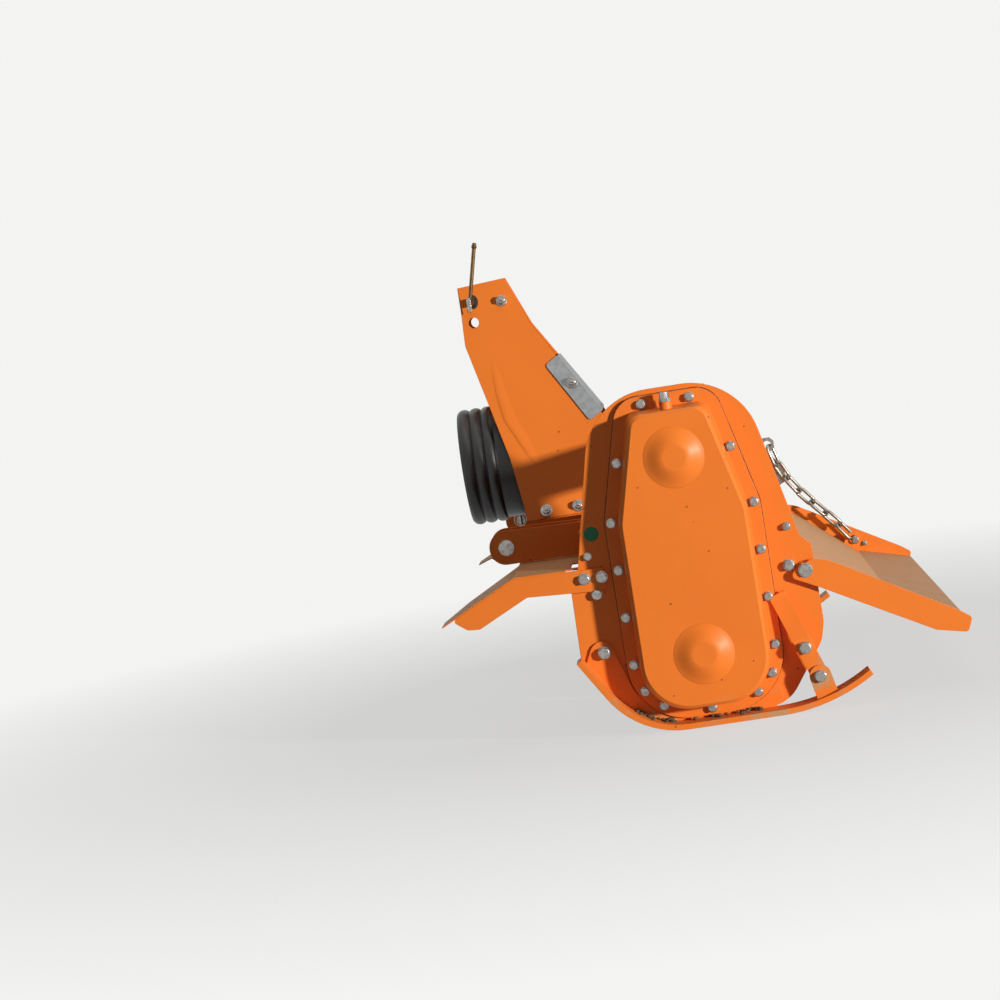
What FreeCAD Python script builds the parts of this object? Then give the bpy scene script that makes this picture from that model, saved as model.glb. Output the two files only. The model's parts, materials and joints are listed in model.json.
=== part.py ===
"""Three-point rotary tiller: a rotor with L-shaped hoes under a hood, between two side plates.

Millimetres. While it is being built, the origin is the rotor's axis in the machine's middle:
X points forward (the way it is towed), Y to the left (the drive case side), Z up.
The last step moves the finished pieces so that the origin lies on the floor,
in the middle of the overall box.
"""
import FreeCAD, Part
import math
import os

V = FreeCAD.Vector

# Width and side plates
half_width = 650.0             # middle of the machine to a side plate's outer face
plate_t = 10.0                 # side plate thickness
sole_drop = 156.0              # rotor axis down to the skid soles
play = 0.3                     # gap between pieces that move past or fit over each other
round_sides = 24               # flat sides of large mouldings and castings that are round
bar_sides = 16                 # flat sides of round bars, tubes and eyes that turn in nothing
running_clearance = 0.05       # radial clearance of a shaft in its bearing
pin_clearance = 0.1            # radial clearance of a hitch pin in its hole
plate_top = 560.0
right_plate_top = 482.0        # the right plate only has to hold the cross tube
plate_top_half = 157.0         # middle of a plate to its edge at plate_top
plate_top_r = 150.0
right_plate_top_r = 120.0
plate_waist_half = 236.0       # the same just above the shoulder
plate_bottom = -144.0
plate_shoulder_z = 206.0       # where the upper, narrower part steps out to the lower part

# Drive case on the left side plate
case_shaft_rise = 415.0        # rotor axis up to the cross shaft and the gearbox input
flange_t = 12.0
cover_depth = 68.0             # from the flange face to the cover's flat face
cover_draft = 9.0              # the cover's walls lean in by this much
cover_bend = 6.0               # the bend between the cover's walls and its face
cover_top = 510.0              # rotor axis up to the top edge of the cover's face
dome_r = 60.0
dome_top_r = 22.0              # the flat middle of a dome
dome_rise = 15.0
plug_boss_r = 13.0
plug_boss_h = 16.0
plug_r = 10.0
plug_h = 20.0
plug_head_h = 7.0

# Rotor
tube_r = 38.0
rotor_wall = 8.0
stub_r = 25.0
stub_flange_r = 54.0
stub_flange_t = 12.0
stub_into_bearing = 30.0       # how far a stub runs past the side plate's outer face
hole_gap = 6.0                 # the side plate's hole round the stub
rotor_end_gap = 12.0           # rotor tube end to the side plate's inner face
disc_count = 6
disc_inset = 140.0             # side plate's outer face to the middle of the first disc
disc_t = 10.0
disc_r = 92.0
tip_r = 190.0
hoe_t = 8.0
hoe_w = 50.0
hoe_root_r = 50.0
hoe_leg = 78.0                 # reach of the bent leg along the rotor
hoe_bend_r = 34.0              # outer radius of the bend
hoe_bend_steps = 3
hoe_waist = 0.84               # the shank's width as a share of the leg's
hoe_sweep = 14.0               # how far the tip trails behind the root

# Hood over the rotor
hood_r = 262.0
hood_t = 5.0
hood_front_deg = 46.0          # measured up from straight ahead
hood_rear_deg = 146.0

# Gearbox, cross tubes and input guard
gearbox_len = 190.0
gearbox_wid = 200.0
gearbox_ht = 214.0
gearbox_edge_r = 22.0
rib_t = 8.0
tube_outer_r = 45.0
tube_flange_half = 62.0        # half the side of a cross tube's square flange
tube_flange_t = 14.0
flange_cut = 20.0              # the cut at each corner of a square flange
tube_wall = 8.0
nose_r = 62.0
nose_len = 90.0
nose_sunk = 6.0                # how far the nose starts inside the gearbox
nose_past_guard = 22.0         # the nose's end ahead of the guard's collar
input_shaft_r = 17.5
input_shaft_len = 150.0
spline_depth = 2.6
spline_count = 6
guard_side_gap = 15.0          # input guard to the mast plates beside it
guard_t = 4.0
guard_front = 486.0            # X of the guard's mouth
hoop_count = 3                 # hoops round the guard's mouth
hoop_pitch = 27.0
hoop_len = 16.0
hoop_rise = 7.0
neck_len = 96.0                # the narrow neck, which clears the mast's clamp

# Front beam, mast and hitch
beam_size = 60.0
beam_wall = 6.0
beam_front = 225.0
beam_bottom = 222.0
mast_t = 8.0
mast_foot_half = 200.0         # middle of the machine to a mast plate's outer face, at its foot
mast_head_half = 38.0          # the same at the top link pin
mast_foot_z = 285.0
top_pin_x = 411.0
top_pin_z = 798.0
top_pin_r = 9.5
spare_hole_drop = 49.0
spare_hole_r = 12.5
top_handle_up = 137.0          # the handle's reach above and below the pin, along itself
top_handle_down = 24.0
top_handle_lean = 13.4         # degrees that it leans to the rear
top_handle_r = 4.5
spacer_x = 340.0
spacer_z = 789.0
spacer_r = 15.0
clamp_t = 3.5
clamp_leg = 33.0
foot_bracket_t = 8.0
low_pin_x = 396.0
low_pin_z = 250.0
low_pin_r = 11.0
low_span_half = 341.5          # category 1 lower hitch points stand 683 mm apart
low_gap = 58.0                 # gap between the two plates of a lower lug
lug_t = 10.0
lug_r = 38.0
lug_tie_t = 12.0               # the plate that joins a lug's two cheeks at the beam
low_head_r = 17.5
low_head_t = 8.0
low_pin_past = 14.0            # how far a lower pin runs past the inner cheek

# Front guard
arm_t = 8.0
guard_sheet_t = 3.0
guard_reach = 539.0
sheet_top_z = 203.0
sheet_bend_x = 373.0           # where the guard's sheet turns down
sheet_open_half = 425.0        # half the opening between its left and right wing at the bend
wing_flare = 60.0              # how much further out a wing's inner end stands near its tip
wing_corner = 50.0             # how much the corner at its tip is cut off, fore and aft
slot_len = 46.0
slot_wid = 90.0

# Rear flap and its chain
flap_pivot_x = -236.0
flap_pivot_z = 134.0
flap_gap = 12.0                # side plate face to the flap's end plate
flap_end_t = 6.0
flap_sheet_t = 5.0
flap_reach = -565.0
flap_bend_x = -430.0
flap_notch_x = -288.0          # behind this the sheet is as wide as the end plates
flap_side_gap = 8.0            # sheet to side plate ahead of the notch
hinge_boss_r = 17.0
pivot_r = 8.0
pivot_across = 24.0            # a pivot bolt's head, across its flats
pivot_head_t = 8.0
chain_inset = 18.0             # right side plate's inner face to the chain's middle
chain_wire_r = 4.2
chain_inner_wid = 14.3
chain_links = 7
chain_slack = 0.05             # gap in each link between it and the next
chain_wire_sides = 6
chain_bow_steps = 5
chain_y = -(half_width - plate_t - chain_inset)
chain_top = V(-243, chain_y, 310)
chain_low = V(-416, chain_y, 50)
chain_inner_len = (chain_low - chain_top).Length / chain_links - chain_slack
bracket_len = 30.0             # from the top eye's rim to the bracket's foot on the side plate
bracket_t = 8.0                # the plates that the chain's two ends hang in
chain_eye_r = 10.0
eye_rim = 8.0                  # metal round an eye
eye_corner = 0.55              # the cut at an eye's corners, as a share of its half width

# Skids
skid_t = 12.0
skid_out = 60.0                # how far the bar stands out from the side plate
web_t = 6.0
strap_t = 6.0
strap_y = half_width + flange_t + play     # a strap's top end lies on the case flange
strap_top = V(-169, 0, 93)
strap_half = 18.5
strap_flat = 12.0              # the strap's top end, before it bends outwards
strap_bend = 90.0              # length of the slanting stretch
strap_step = 24.0              # how far it steps outwards there
strap_end = 20.0               # past its lower bolt
strap_bolt = 124.0             # from its top end to the bolt with the distance piece
strap_spacer_r = 11.0
skid_lug = V(-233, 0, -87)     # the strap's lower bolt, in the skid's lug
skid_lug_half = 23.0
skid_lug_drop = 46.0
skid_lug_lean = 12.0
flat_front = 55.0              # the sole is flat from here
flat_rear = -140.0             # to here
front_arc_r = 190.0
front_arc_deg = 58.0
front_tail = 96.0
rear_arc_r = 380.0
rear_arc_deg = 32.0

# Right-hand bearing
hub_flange_half = 72.0
hub_flange_t = 12.0
hub_r = 56.0
hub_len = 46.0

parts = {}


def profile(corners, y=0.0):
    """A closed wire in the XZ plane at y, from corners (x, z, corner radius)."""
    points = [V(x, y, z) for x, z, r in corners]
    radii = [r for x, z, r in corners]
    count = len(points)
    stops = []
    for i, corner in enumerate(points):
        back = (points[i - 1] - corner)
        on = (points[(i + 1) % count] - corner)
        back.normalize()
        on.normalize()
        half = back.getAngle(on) / 2
        if radii[i] <= 0 or abs(half - math.pi / 2) < 1e-6:
            stops.append((corner, None, corner))
            continue
        reach = radii[i] / math.tan(half)
        bisector = back + on
        bisector.normalize()
        centre = corner + bisector * (radii[i] / math.sin(half))
        middle = centre - bisector * radii[i]
        stops.append((corner + back * reach, middle, corner + on * reach))
    edges = []
    for i, (start, middle, end) in enumerate(stops):
        if middle is not None:
            edges.append(Part.Arc(start, middle, end).toShape())
        following = stops[(i + 1) % count][0]
        if end.distanceToPoint(following) > 1e-6:
            edges.append(Part.LineSegment(end, following).toShape())
    return Part.Wire(edges)


def plate(corners, y, thickness):
    """A flat plate standing along the machine, from y towards the left."""
    return Part.Face(profile(corners, y)).extrude(V(0, thickness, 0))


def rod_y(radius, x, z, y_start, y_end):
    """A round bar across the machine."""
    return Part.makeCylinder(radius, y_end - y_start, V(x, y_start, z), V(0, 1, 0))


def rod_x(radius, y, z, x_start, x_end):
    """A round bar along the machine."""
    return Part.makeCylinder(radius, x_end - x_start, V(x_start, y, z), V(1, 0, 0))


def prism_y(sides, corner_r, x, z, y_start, y_end):
    """A bar across the machine with an even number of flat sides, given by its corners."""
    turns = [2 * math.pi * k / sides for k in range(sides)]
    corners = [(x + corner_r * math.cos(a), z + corner_r * math.sin(a), 0) for a in turns]
    return plate(corners, y_start, y_end - y_start)


def blunt_cone_y(foot_r, top_r, z, y_start, y_end):
    """A low cone on the rotor's side with flat sides and a flat top."""
    turns = [2 * math.pi * k / round_sides for k in range(round_sides)]
    foot = [V(foot_r * math.cos(a), y_start, z + foot_r * math.sin(a)) for a in turns]
    top = [V(top_r * math.cos(a), y_end, z + top_r * math.sin(a)) for a in turns]
    rings = [foot + foot[:1], top + top[:1]]
    sides = [[foot[k - 1], foot[k], top[k], top[k - 1], foot[k - 1]] for k in range(round_sides)]
    return Part.Solid(Part.Shell([Part.Face(Part.makePolygon(loop)) for loop in rings + sides]))


def prism_x(sides, corner_r, z, x_start, x_end):
    """The same along the machine, in its middle plane."""
    bar = prism_y(sides, corner_r, 0, z, -x_end, -x_start)
    bar.rotate(V(0, 0, 0), V(0, 0, 1), 90)
    return bar


def hexagon_y(across, x, z, y_start, y_end):
    """A hexagonal bolt head or nut across the machine, given across its flats."""
    return prism_y(6, across / math.sqrt(3), x, z, y_start, y_end)


def square_flange(half, z, y_start, y_end):
    """A square flange with cut corners round a shaft that runs across the machine."""
    cut = half - flange_cut
    corners = [(half, cut), (cut, half), (-cut, half), (-half, cut),
               (-half, -cut), (-cut, -half), (cut, -half), (half, -cut)]
    return plate([(x, z + dz, 0) for x, dz in corners], y_start, y_end - y_start)


def block(x0, x1, y0, y1, z0, z1):
    return Part.makeBox(x1 - x0, y1 - y0, z1 - z0, V(x0, y0, z0))


def mirrored(shape):
    """The same piece on the other side of the machine."""
    return shape.mirror(V(0, 0, 0), V(0, 1, 0))


def both_sides(shape):
    """A piece and its mirror image, as one node of two solids."""
    return Part.makeCompound([shape, mirrored(shape)])


def symmetric(half_corners):
    """A closed outline from its front half, listed from the top down."""
    rear = [(-x, z, r) for x, z, r in reversed(half_corners)]
    return half_corners + rear


def side_plate(top, top_r):
    """The left side plate with its hinge boss, cut off at the top given."""
    share = (plate_top - top) / (plate_top - plate_shoulder_z)
    outline = symmetric([
        (plate_top_half + (plate_waist_half - plate_top_half) * share, top, top_r),
        (plate_waist_half, plate_shoulder_z, 8),
        (plate_waist_half + 21, plate_shoulder_z - 20, 10),
        (plate_waist_half + 23, 20, 60),
        (plate_waist_half + 13, -20, 60),
        (160, plate_bottom, 80),
    ])
    bare = plate(outline, half_width - plate_t, plate_t)
    boss = rod_y(hinge_boss_r, flap_pivot_x, flap_pivot_z, half_width, half_width + flap_gap - play)
    pivot_hole = rod_y(pivot_r + running_clearance, flap_pivot_x, flap_pivot_z,
                       half_width - plate_t, half_width + flap_gap)
    shaft_hole = rod_y(stub_r + hole_gap, 0, 0, half_width - plate_t, half_width)
    return bare.fuse(boss).cut(pivot_hole).cut(shaft_hole).removeSplitter()


def side_plates():
    parts["side_plate_left"] = side_plate(plate_top, plate_top_r)
    parts["side_plate_right"] = mirrored(side_plate(right_plate_top, right_plate_top_r))


def cover_outline(grow):
    """The cover's flat face, or its foot when grown by the draft."""
    return symmetric([
        (76 + grow, cover_top + grow, 26),
        (130 + grow, 290, 70),
        (131 + grow, -108 - grow, 95),
    ])


def case_flange_outline(grow):
    """The bolting flange of the drive case, or a clearance line round it."""
    return symmetric([
        (103 + grow, 548 + grow, 55),
        (165 + grow, 295, 70),
        (165 + grow, -140 - grow, 125),
    ])


def drive_case():
    face_y = half_width + flange_t + cover_depth
    flange = plate(case_flange_outline(0), half_width, flange_t)
    foot = profile(cover_outline(cover_draft), half_width + flange_t)
    shoulder = profile(cover_outline(cover_bend / 2), face_y - cover_bend)
    face = profile(cover_outline(-cover_bend / 2), face_y)
    cover = Part.makeLoft([foot, shoulder, face], True, True)
    case = flange.fuse(cover)
    for z in (0, case_shaft_rise):
        case = case.fuse(blunt_cone_y(dome_r, dome_top_r, z, face_y, face_y + dome_rise))
    boss_y = half_width + flange_t + cover_depth / 2
    boss_foot = cover_top - cover_draft / 2
    boss_top = cover_top + cover_draft / 2 + plug_boss_h
    boss = Part.makeCylinder(plug_boss_r, boss_top - boss_foot, V(0, boss_y, boss_foot))
    bearing = rod_y(stub_r + running_clearance, 0, 0, half_width, half_width + stub_into_bearing + play)
    parts["drive_case"] = case.fuse(boss).cut(bearing).removeSplitter()

    def upright_prism(sides, radius, height):
        turns = [2 * math.pi * k / sides for k in range(sides + 1)]
        ring = [V(radius * math.cos(a), boss_y + radius * math.sin(a), boss_top) for a in turns]
        return Part.Face(Part.makePolygon(ring)).extrude(V(0, 0, height))

    head = upright_prism(6, plug_r * 1.25, plug_head_h)
    parts["filler_plug"] = head.fuse(upright_prism(12, plug_r, plug_h)).removeSplitter()


def right_bearing():
    y = -half_width
    flange = square_flange(hub_flange_half, 0, y - hub_flange_t, y)
    hub = prism_y(round_sides, hub_r, 0, 0, y - hub_len, y - hub_flange_t)
    bore = rod_y(stub_r + running_clearance, 0, 0, y - stub_into_bearing - play, y)
    parts["rotor_bearing"] = flange.fuse(hub).cut(bore).removeSplitter()


def hoe(side):
    """One L-shaped hoe, its shank straight down; side is +1 or -1 along Y."""
    inner = disc_t / 2
    centre_y, centre_z = inner + hoe_bend_r, hoe_bend_r - tip_r
    turns = [math.pi / 2 * k / hoe_bend_steps for k in range(hoe_bend_steps + 1)]

    def bend(radius):
        return [(centre_y - radius * math.cos(a), centre_z - radius * math.sin(a)) for a in turns]

    section = [(inner, -hoe_root_r)] + bend(hoe_bend_r) + [(inner + hoe_leg, -tip_r)]
    section += [(inner + hoe_leg, hoe_t - tip_r)]
    section += bend(hoe_bend_r - hoe_t)[::-1] + [(inner + hoe_t, -hoe_root_r)]
    strip = Part.Face(Part.makePolygon([V(-hoe_w, y, z) for y, z in section + section[:1]]))
    strip = strip.extrude(V(2 * hoe_w, 0, 0))
    half = hoe_w / 2
    waist = half * hoe_waist
    middle = -(hoe_root_r + tip_r) / 2
    planform = plate([
        (-waist, 1 - hoe_root_r, 0), (waist, 1 - hoe_root_r, 0), (waist, middle, 0),
        (half - hoe_sweep, -tip_r - 1, 0), (-half - hoe_sweep, -tip_r - 1, 0), (-waist, middle, 0),
    ], inner - 1, hoe_leg + 2)
    blade = strip.common(planform)
    blade.translate(V(hoe_sweep, 0, 0))
    return blade if side > 0 else mirrored(blade)


def octagon(corner_r, y_start, y_end):
    """An eight-sided disc on the rotor, given by its corners."""
    angles = [(k + 0.5) * math.pi / 4 for k in range(8)]
    corners = [(corner_r * math.cos(a), corner_r * math.sin(a), 0) for a in angles]
    return plate(corners, y_start, y_end - y_start)


def rotor():
    end = half_width - plate_t - rotor_end_gap - stub_flange_t
    body = prism_y(bar_sides, tube_r, 0, 0, -end, end)
    first = disc_inset - half_width
    disc_pitch = -2 * first / (disc_count - 1)
    places = [first + i * disc_pitch for i in range(disc_count)]
    for y in places:
        body = body.fuse(octagon(disc_r, y - disc_t / 2, y + disc_t / 2))
    body = body.fuse(octagon(stub_flange_r, end - stub_flange_t, end))
    body = body.fuse(octagon(stub_flange_r, -end, stub_flange_t - end))
    bore = prism_y(bar_sides, tube_r - rotor_wall, 0, 0, -end - 1, end + 1)
    parts["rotor_tube"] = body.cut(bore).removeSplitter()
    stub = rod_y(stub_r, 0, 0, end, half_width + stub_into_bearing)
    stub = stub.fuse(octagon(stub_flange_r, end, end + stub_flange_t)).removeSplitter()
    parts["rotor_stubs"] = both_sides(stub)
    blades = []
    for i, y in enumerate(places):
        for k in range(4):
            side = 1 if (k + i) % 2 == 0 else -1
            if abs(y + side * hoe_leg) > end:
                side = -side
            blade = hoe(side)
            blade.rotate(V(0, 0, 0), V(0, 1, 0), 45 + 90 * k)
            blade.translate(V(0, y, 0))
            blades.append(blade)
    parts["hoes"] = Part.makeCompound(blades)


def hood():
    outer_r = hood_r + hood_t
    inside = half_width - plate_t

    def at(radius, degrees):
        a = math.radians(degrees)
        return V(radius * math.cos(a), -inside, radius * math.sin(a))

    middle = (hood_front_deg + hood_rear_deg) / 2
    edges = [
        Part.Arc(at(outer_r, hood_front_deg), at(outer_r, middle), at(outer_r, hood_rear_deg)).toShape(),
        Part.LineSegment(at(outer_r, hood_rear_deg), at(hood_r, hood_rear_deg)).toShape(),
        Part.Arc(at(hood_r, hood_rear_deg), at(hood_r, middle), at(hood_r, hood_front_deg)).toShape(),
        Part.LineSegment(at(hood_r, hood_front_deg), at(outer_r, hood_front_deg)).toShape(),
    ]
    parts["hood"] = Part.Face(Part.Wire(edges)).extrude(V(0, 2 * inside, 0))


def gearbox():
    z = case_shaft_rise
    half_len = gearbox_len / 2
    low, high = z - gearbox_ht / 2, z + gearbox_ht / 2
    body = plate([(gearbox_wid / 2, low, gearbox_edge_r), (gearbox_wid / 2, high, gearbox_edge_r),
                  (-gearbox_wid / 2, high, gearbox_edge_r), (-gearbox_wid / 2, low, gearbox_edge_r)],
                 -half_len, gearbox_len)
    body.rotate(V(0, 0, 0), V(0, 0, 1), 90)
    nose = prism_x(round_sides, nose_r, z, half_len - nose_sunk, half_len - nose_sunk + nose_len)
    body = body.fuse(nose)
    for y in (-gearbox_wid / 4, 0, gearbox_wid / 4):
        rib = block(-half_len - rib_t, -half_len, y - rib_t / 2, y + rib_t / 2,
                    low + gearbox_edge_r, high - gearbox_edge_r)
        body = body.fuse(rib)
    nose_end = half_len - nose_sunk + nose_len
    socket = rod_x(input_shaft_r + running_clearance, 0, z, nose_end - 30, nose_end)
    parts["gearbox"] = body.cut(socket).removeSplitter()

    shaft = rod_x(input_shaft_r, 0, z, nose_end - 30 + play, nose_end + input_shaft_len)
    for k in range(spline_count):
        groove = block(nose_end + 40, nose_end + input_shaft_len + 1, -4, 4,
                       input_shaft_r - spline_depth, input_shaft_r + 2)
        groove.rotate(V(0, 0, 0), V(1, 0, 0), 360.0 * k / spline_count)
        groove.translate(V(0, 0, z))
        shaft = shaft.cut(groove)
    parts["input_shaft"] = shaft

    reach = half_width - plate_t
    bare = rod_y(tube_outer_r, 0, z, gearbox_wid / 2, reach)
    inner_flange = square_flange(tube_flange_half, z, gearbox_wid / 2, gearbox_wid / 2 + tube_flange_t)
    outer_flange = square_flange(tube_flange_half, z, reach - tube_flange_t, reach)
    bore = rod_y(tube_outer_r - tube_wall, 0, z, gearbox_wid / 2, reach)
    cross = bare.fuse(inner_flange).fuse(outer_flange).cut(bore).removeSplitter()
    parts["cross_tubes"] = both_sides(cross)


def input_guard():
    """A sleeve with hoops round its mouth and a narrow neck that seats on the gearbox nose."""
    z = case_shaft_rise
    neck_x = gearbox_len / 2 - nose_sunk + nose_len - nose_past_guard
    body_x = neck_x + neck_len
    hoop_r = mast_half_at(z) - mast_t - guard_side_gap
    body_r = hoop_r - hoop_rise
    neck_bore = nose_r + play
    sleeve = prism_x(round_sides, body_r, z, body_x, guard_front)
    sleeve = sleeve.fuse(prism_x(round_sides, neck_bore + guard_t, z, neck_x, body_x))
    for k in range(hoop_count):
        mouth = guard_front - k * hoop_pitch
        sleeve = sleeve.fuse(prism_x(round_sides, hoop_r, z, mouth - hoop_len, mouth))
    inside = [(body_r - guard_t, body_x + guard_t, guard_front + 1),
              (neck_bore, neck_x - 1, body_x + guard_t + 1)]
    for radius, start, stop in inside:
        sleeve = sleeve.cut(prism_x(round_sides, radius, z, start, stop))
    parts["input_guard"] = sleeve.removeSplitter()


def mast_lean(shape):
    """Turn an upright plate so that its head leans towards the middle of the machine."""
    rise = top_pin_z - mast_foot_z
    lean = math.degrees(math.atan2(mast_foot_half - mast_head_half, rise))
    turned = shape.copy()
    turned.rotate(V(0, mast_foot_half, mast_foot_z), V(1, 0, 0), lean)
    return turned


def mast_half_at(z):
    """Middle of the machine to a mast plate's outer face at height z."""
    share = (z - mast_foot_z) / (top_pin_z - mast_foot_z)
    return mast_foot_half + (mast_head_half - mast_foot_half) * share


def lean_length(z):
    """Height z above the foot, measured along the leaning plate."""
    rise = top_pin_z - mast_foot_z
    return mast_foot_z + (z - mast_foot_z) * math.hypot(mast_foot_half - mast_head_half, rise) / rise


def mast():
    outline = [
        (438, 834, 0), (326, 841, 0), (282, 728, 30), (234, 647, 20), (147, 500, 25),
        (120, 440, 20), (120, 288, 0), (351, 285, 0), (356, 330, 20), (371, 430, 60),
        (438, 699, 40), (437, 773, 20),
    ]
    upright = plate([(x, lean_length(z), r) for x, z, r in outline], mast_foot_half - mast_t, mast_t)
    left = mast_lean(upright)
    foot_cut = block(0, 500, 0, 400, mast_foot_z - 60, beam_bottom + beam_size)
    pin_hole = rod_y(top_pin_r + pin_clearance, top_pin_x, top_pin_z, 0, 200)
    spare_hole = rod_y(spare_hole_r, top_pin_x, top_pin_z - spare_hole_drop, 0, 200)
    left = left.cut(foot_cut).cut(pin_hole).cut(spare_hole)
    right = mirrored(left)
    parts["mast_plate_left"] = left
    parts["mast_plate_right"] = right

    bracket = plate([(128, lean_length(262), 0), (330, lean_length(262), 0), (330, lean_length(300), 12),
                     (318, lean_length(322), 12), (128, lean_length(322), 12)],
                    mast_foot_half - mast_t - foot_bracket_t, foot_bracket_t)
    bracket = mast_lean(bracket).cut(block(0, 400, 0, 400, 0, beam_bottom + beam_size))
    parts["mast_feet"] = both_sides(bracket)

    bar = prism_y(bar_sides, spacer_r, spacer_x, spacer_z, -mast_head_half - 3, mast_head_half + 3)
    bar = bar.cut(left).cut(right)
    parts["mast_spacer"] = max(bar.Solids, key=lambda s: s.Volume)

    end = mast_head_half + mast_t + 12
    pin = rod_y(top_pin_r, top_pin_x, top_pin_z, -end, end + 14)
    handle = Part.makeCylinder(top_handle_r, top_handle_down + top_handle_up, V(0, 0, -top_handle_down))
    handle.rotate(V(0, 0, 0), V(0, 1, 0), -top_handle_lean)
    handle.translate(V(top_pin_x, end + 8, top_pin_z))
    parts["top_link_pin"] = pin.fuse(handle).removeSplitter()

    clamp_top = V(234, 0, 647)
    clamp_low = V(147, 0, 500)
    along = clamp_low - clamp_top
    along.normalize()
    inward = V(-along.z, 0, along.x)
    if inward.x < 0:
        inward = inward * -1
    start = clamp_top + along * 4
    stop = clamp_low - along * 4
    leg_points = [start, stop, stop + inward * clamp_leg, start + inward * clamp_leg]
    leg = plate([(p.x, lean_length(p.z), 8 if i > 1 else 0) for i, p in enumerate(leg_points)],
                mast_foot_half, clamp_t)
    leg = mast_lean(leg)
    start_half = mast_half_at(start.z) + clamp_t
    stop_half = mast_half_at(stop.z) + clamp_t
    web_corners = [V(start.x, start_half, start.z), V(stop.x, stop_half, stop.z),
                   V(stop.x, -stop_half, stop.z), V(start.x, -start_half, start.z)]
    web = Part.Face(Part.makePolygon(web_corners + [web_corners[0]])).extrude(inward * -clamp_t)
    clamp = leg.fuse(mirrored(leg)).fuse(web)
    parts["mast_clamp"] = clamp.cut(left).cut(right).removeSplitter()


def beam_and_hitch():
    inside = half_width - plate_t
    rear = beam_front - beam_size
    top = beam_bottom + beam_size
    bar = block(rear, beam_front, -inside, inside, beam_bottom, top)
    across = [e for e in bar.Edges if e.Length > 2 * inside - 1]
    bar = bar.makeFillet(7, across)
    bore = block(rear + beam_wall, beam_front - beam_wall, -inside, inside,
                 beam_bottom + beam_wall, top - beam_wall)
    parts["front_beam"] = bar.cut(bore)

    lug_outline = [
        (beam_front, low_pin_z - lug_r, 0),
        (low_pin_x + lug_r, low_pin_z - lug_r, lug_r - 2),
        (low_pin_x + lug_r, low_pin_z + lug_r, lug_r - 2),
        (beam_front, low_pin_z + lug_r - 6, 0),
    ]
    inner_y = low_span_half - low_gap / 2 - lug_t
    outer_y = low_span_half + low_gap / 2
    clevis = block(beam_front, beam_front + lug_tie_t, inner_y, outer_y + lug_t,
                   low_pin_z - lug_r + 4, low_pin_z + lug_r - 10)
    for y in (inner_y, outer_y):
        lug = plate(lug_outline, y, lug_t)
        clevis = clevis.fuse(lug.cut(rod_y(low_pin_r + pin_clearance, low_pin_x, low_pin_z, y, y + lug_t)))
    pin = rod_y(low_pin_r, low_pin_x, low_pin_z, inner_y - low_pin_past, outer_y + lug_t + low_head_t / 2)
    head = rod_y(low_head_r, low_pin_x, low_pin_z, outer_y + lug_t + play, outer_y + lug_t + low_head_t)
    parts["lower_lugs"] = both_sides(clevis.removeSplitter())
    parts["lower_pins"] = both_sides(pin.fuse(head).removeSplitter())


def front_guard():
    arm = plate([
        (180, sheet_top_z, 12), (sheet_bend_x, sheet_top_z + 4, 0), (516, 137, 6), (486, 114, 14),
        (460, 112, 12), (351, 164, 6), (180, 154, 12),
    ], half_width, arm_t)
    parts["guard_arms"] = both_sides(arm)
    outer = half_width + arm_t
    lie = guard_sheet_t
    run = [(262, sheet_top_z + 1.7), (sheet_bend_x, sheet_top_z + 4), (guard_reach, 126)]
    top = [(x, z + lie) for x, z in run]
    full = plate([(x, z, 0) for x, z in run + top[::-1]], -outer, 2 * outer)
    inside = half_width - plate_t
    inner = plate([(190, sheet_top_z + 0.2, 0), (262, sheet_top_z + 1.7, 0),
                   (262, sheet_top_z + 1.7 + lie, 0), (190, sheet_top_z + 0.2 + lie, 0)],
                  -inside, 2 * inside)
    sheet = full.fuse(inner)
    for side in (1, -1):
        middle = side * (inside - 75)
        sheet = sheet.cut(block(252 - slot_len, 252, middle - slot_wid / 2, middle + slot_wid / 2, 150, 260))
    flare_half = sheet_open_half + wing_flare
    edge = [(sheet_bend_x, sheet_open_half), (guard_reach - wing_corner, flare_half),
            (guard_reach + play, flare_half + 2 * wing_corner)]
    mouth = [V(x, y, 0) for x, y in edge] + [V(x, -y, 0) for x, y in edge[::-1]]
    opening = Part.Face(Part.makePolygon(mouth + mouth[:1])).extrude(V(0, 0, 2 * sheet_top_z))
    parts["front_guard"] = sheet.cut(opening).removeSplitter()


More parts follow.
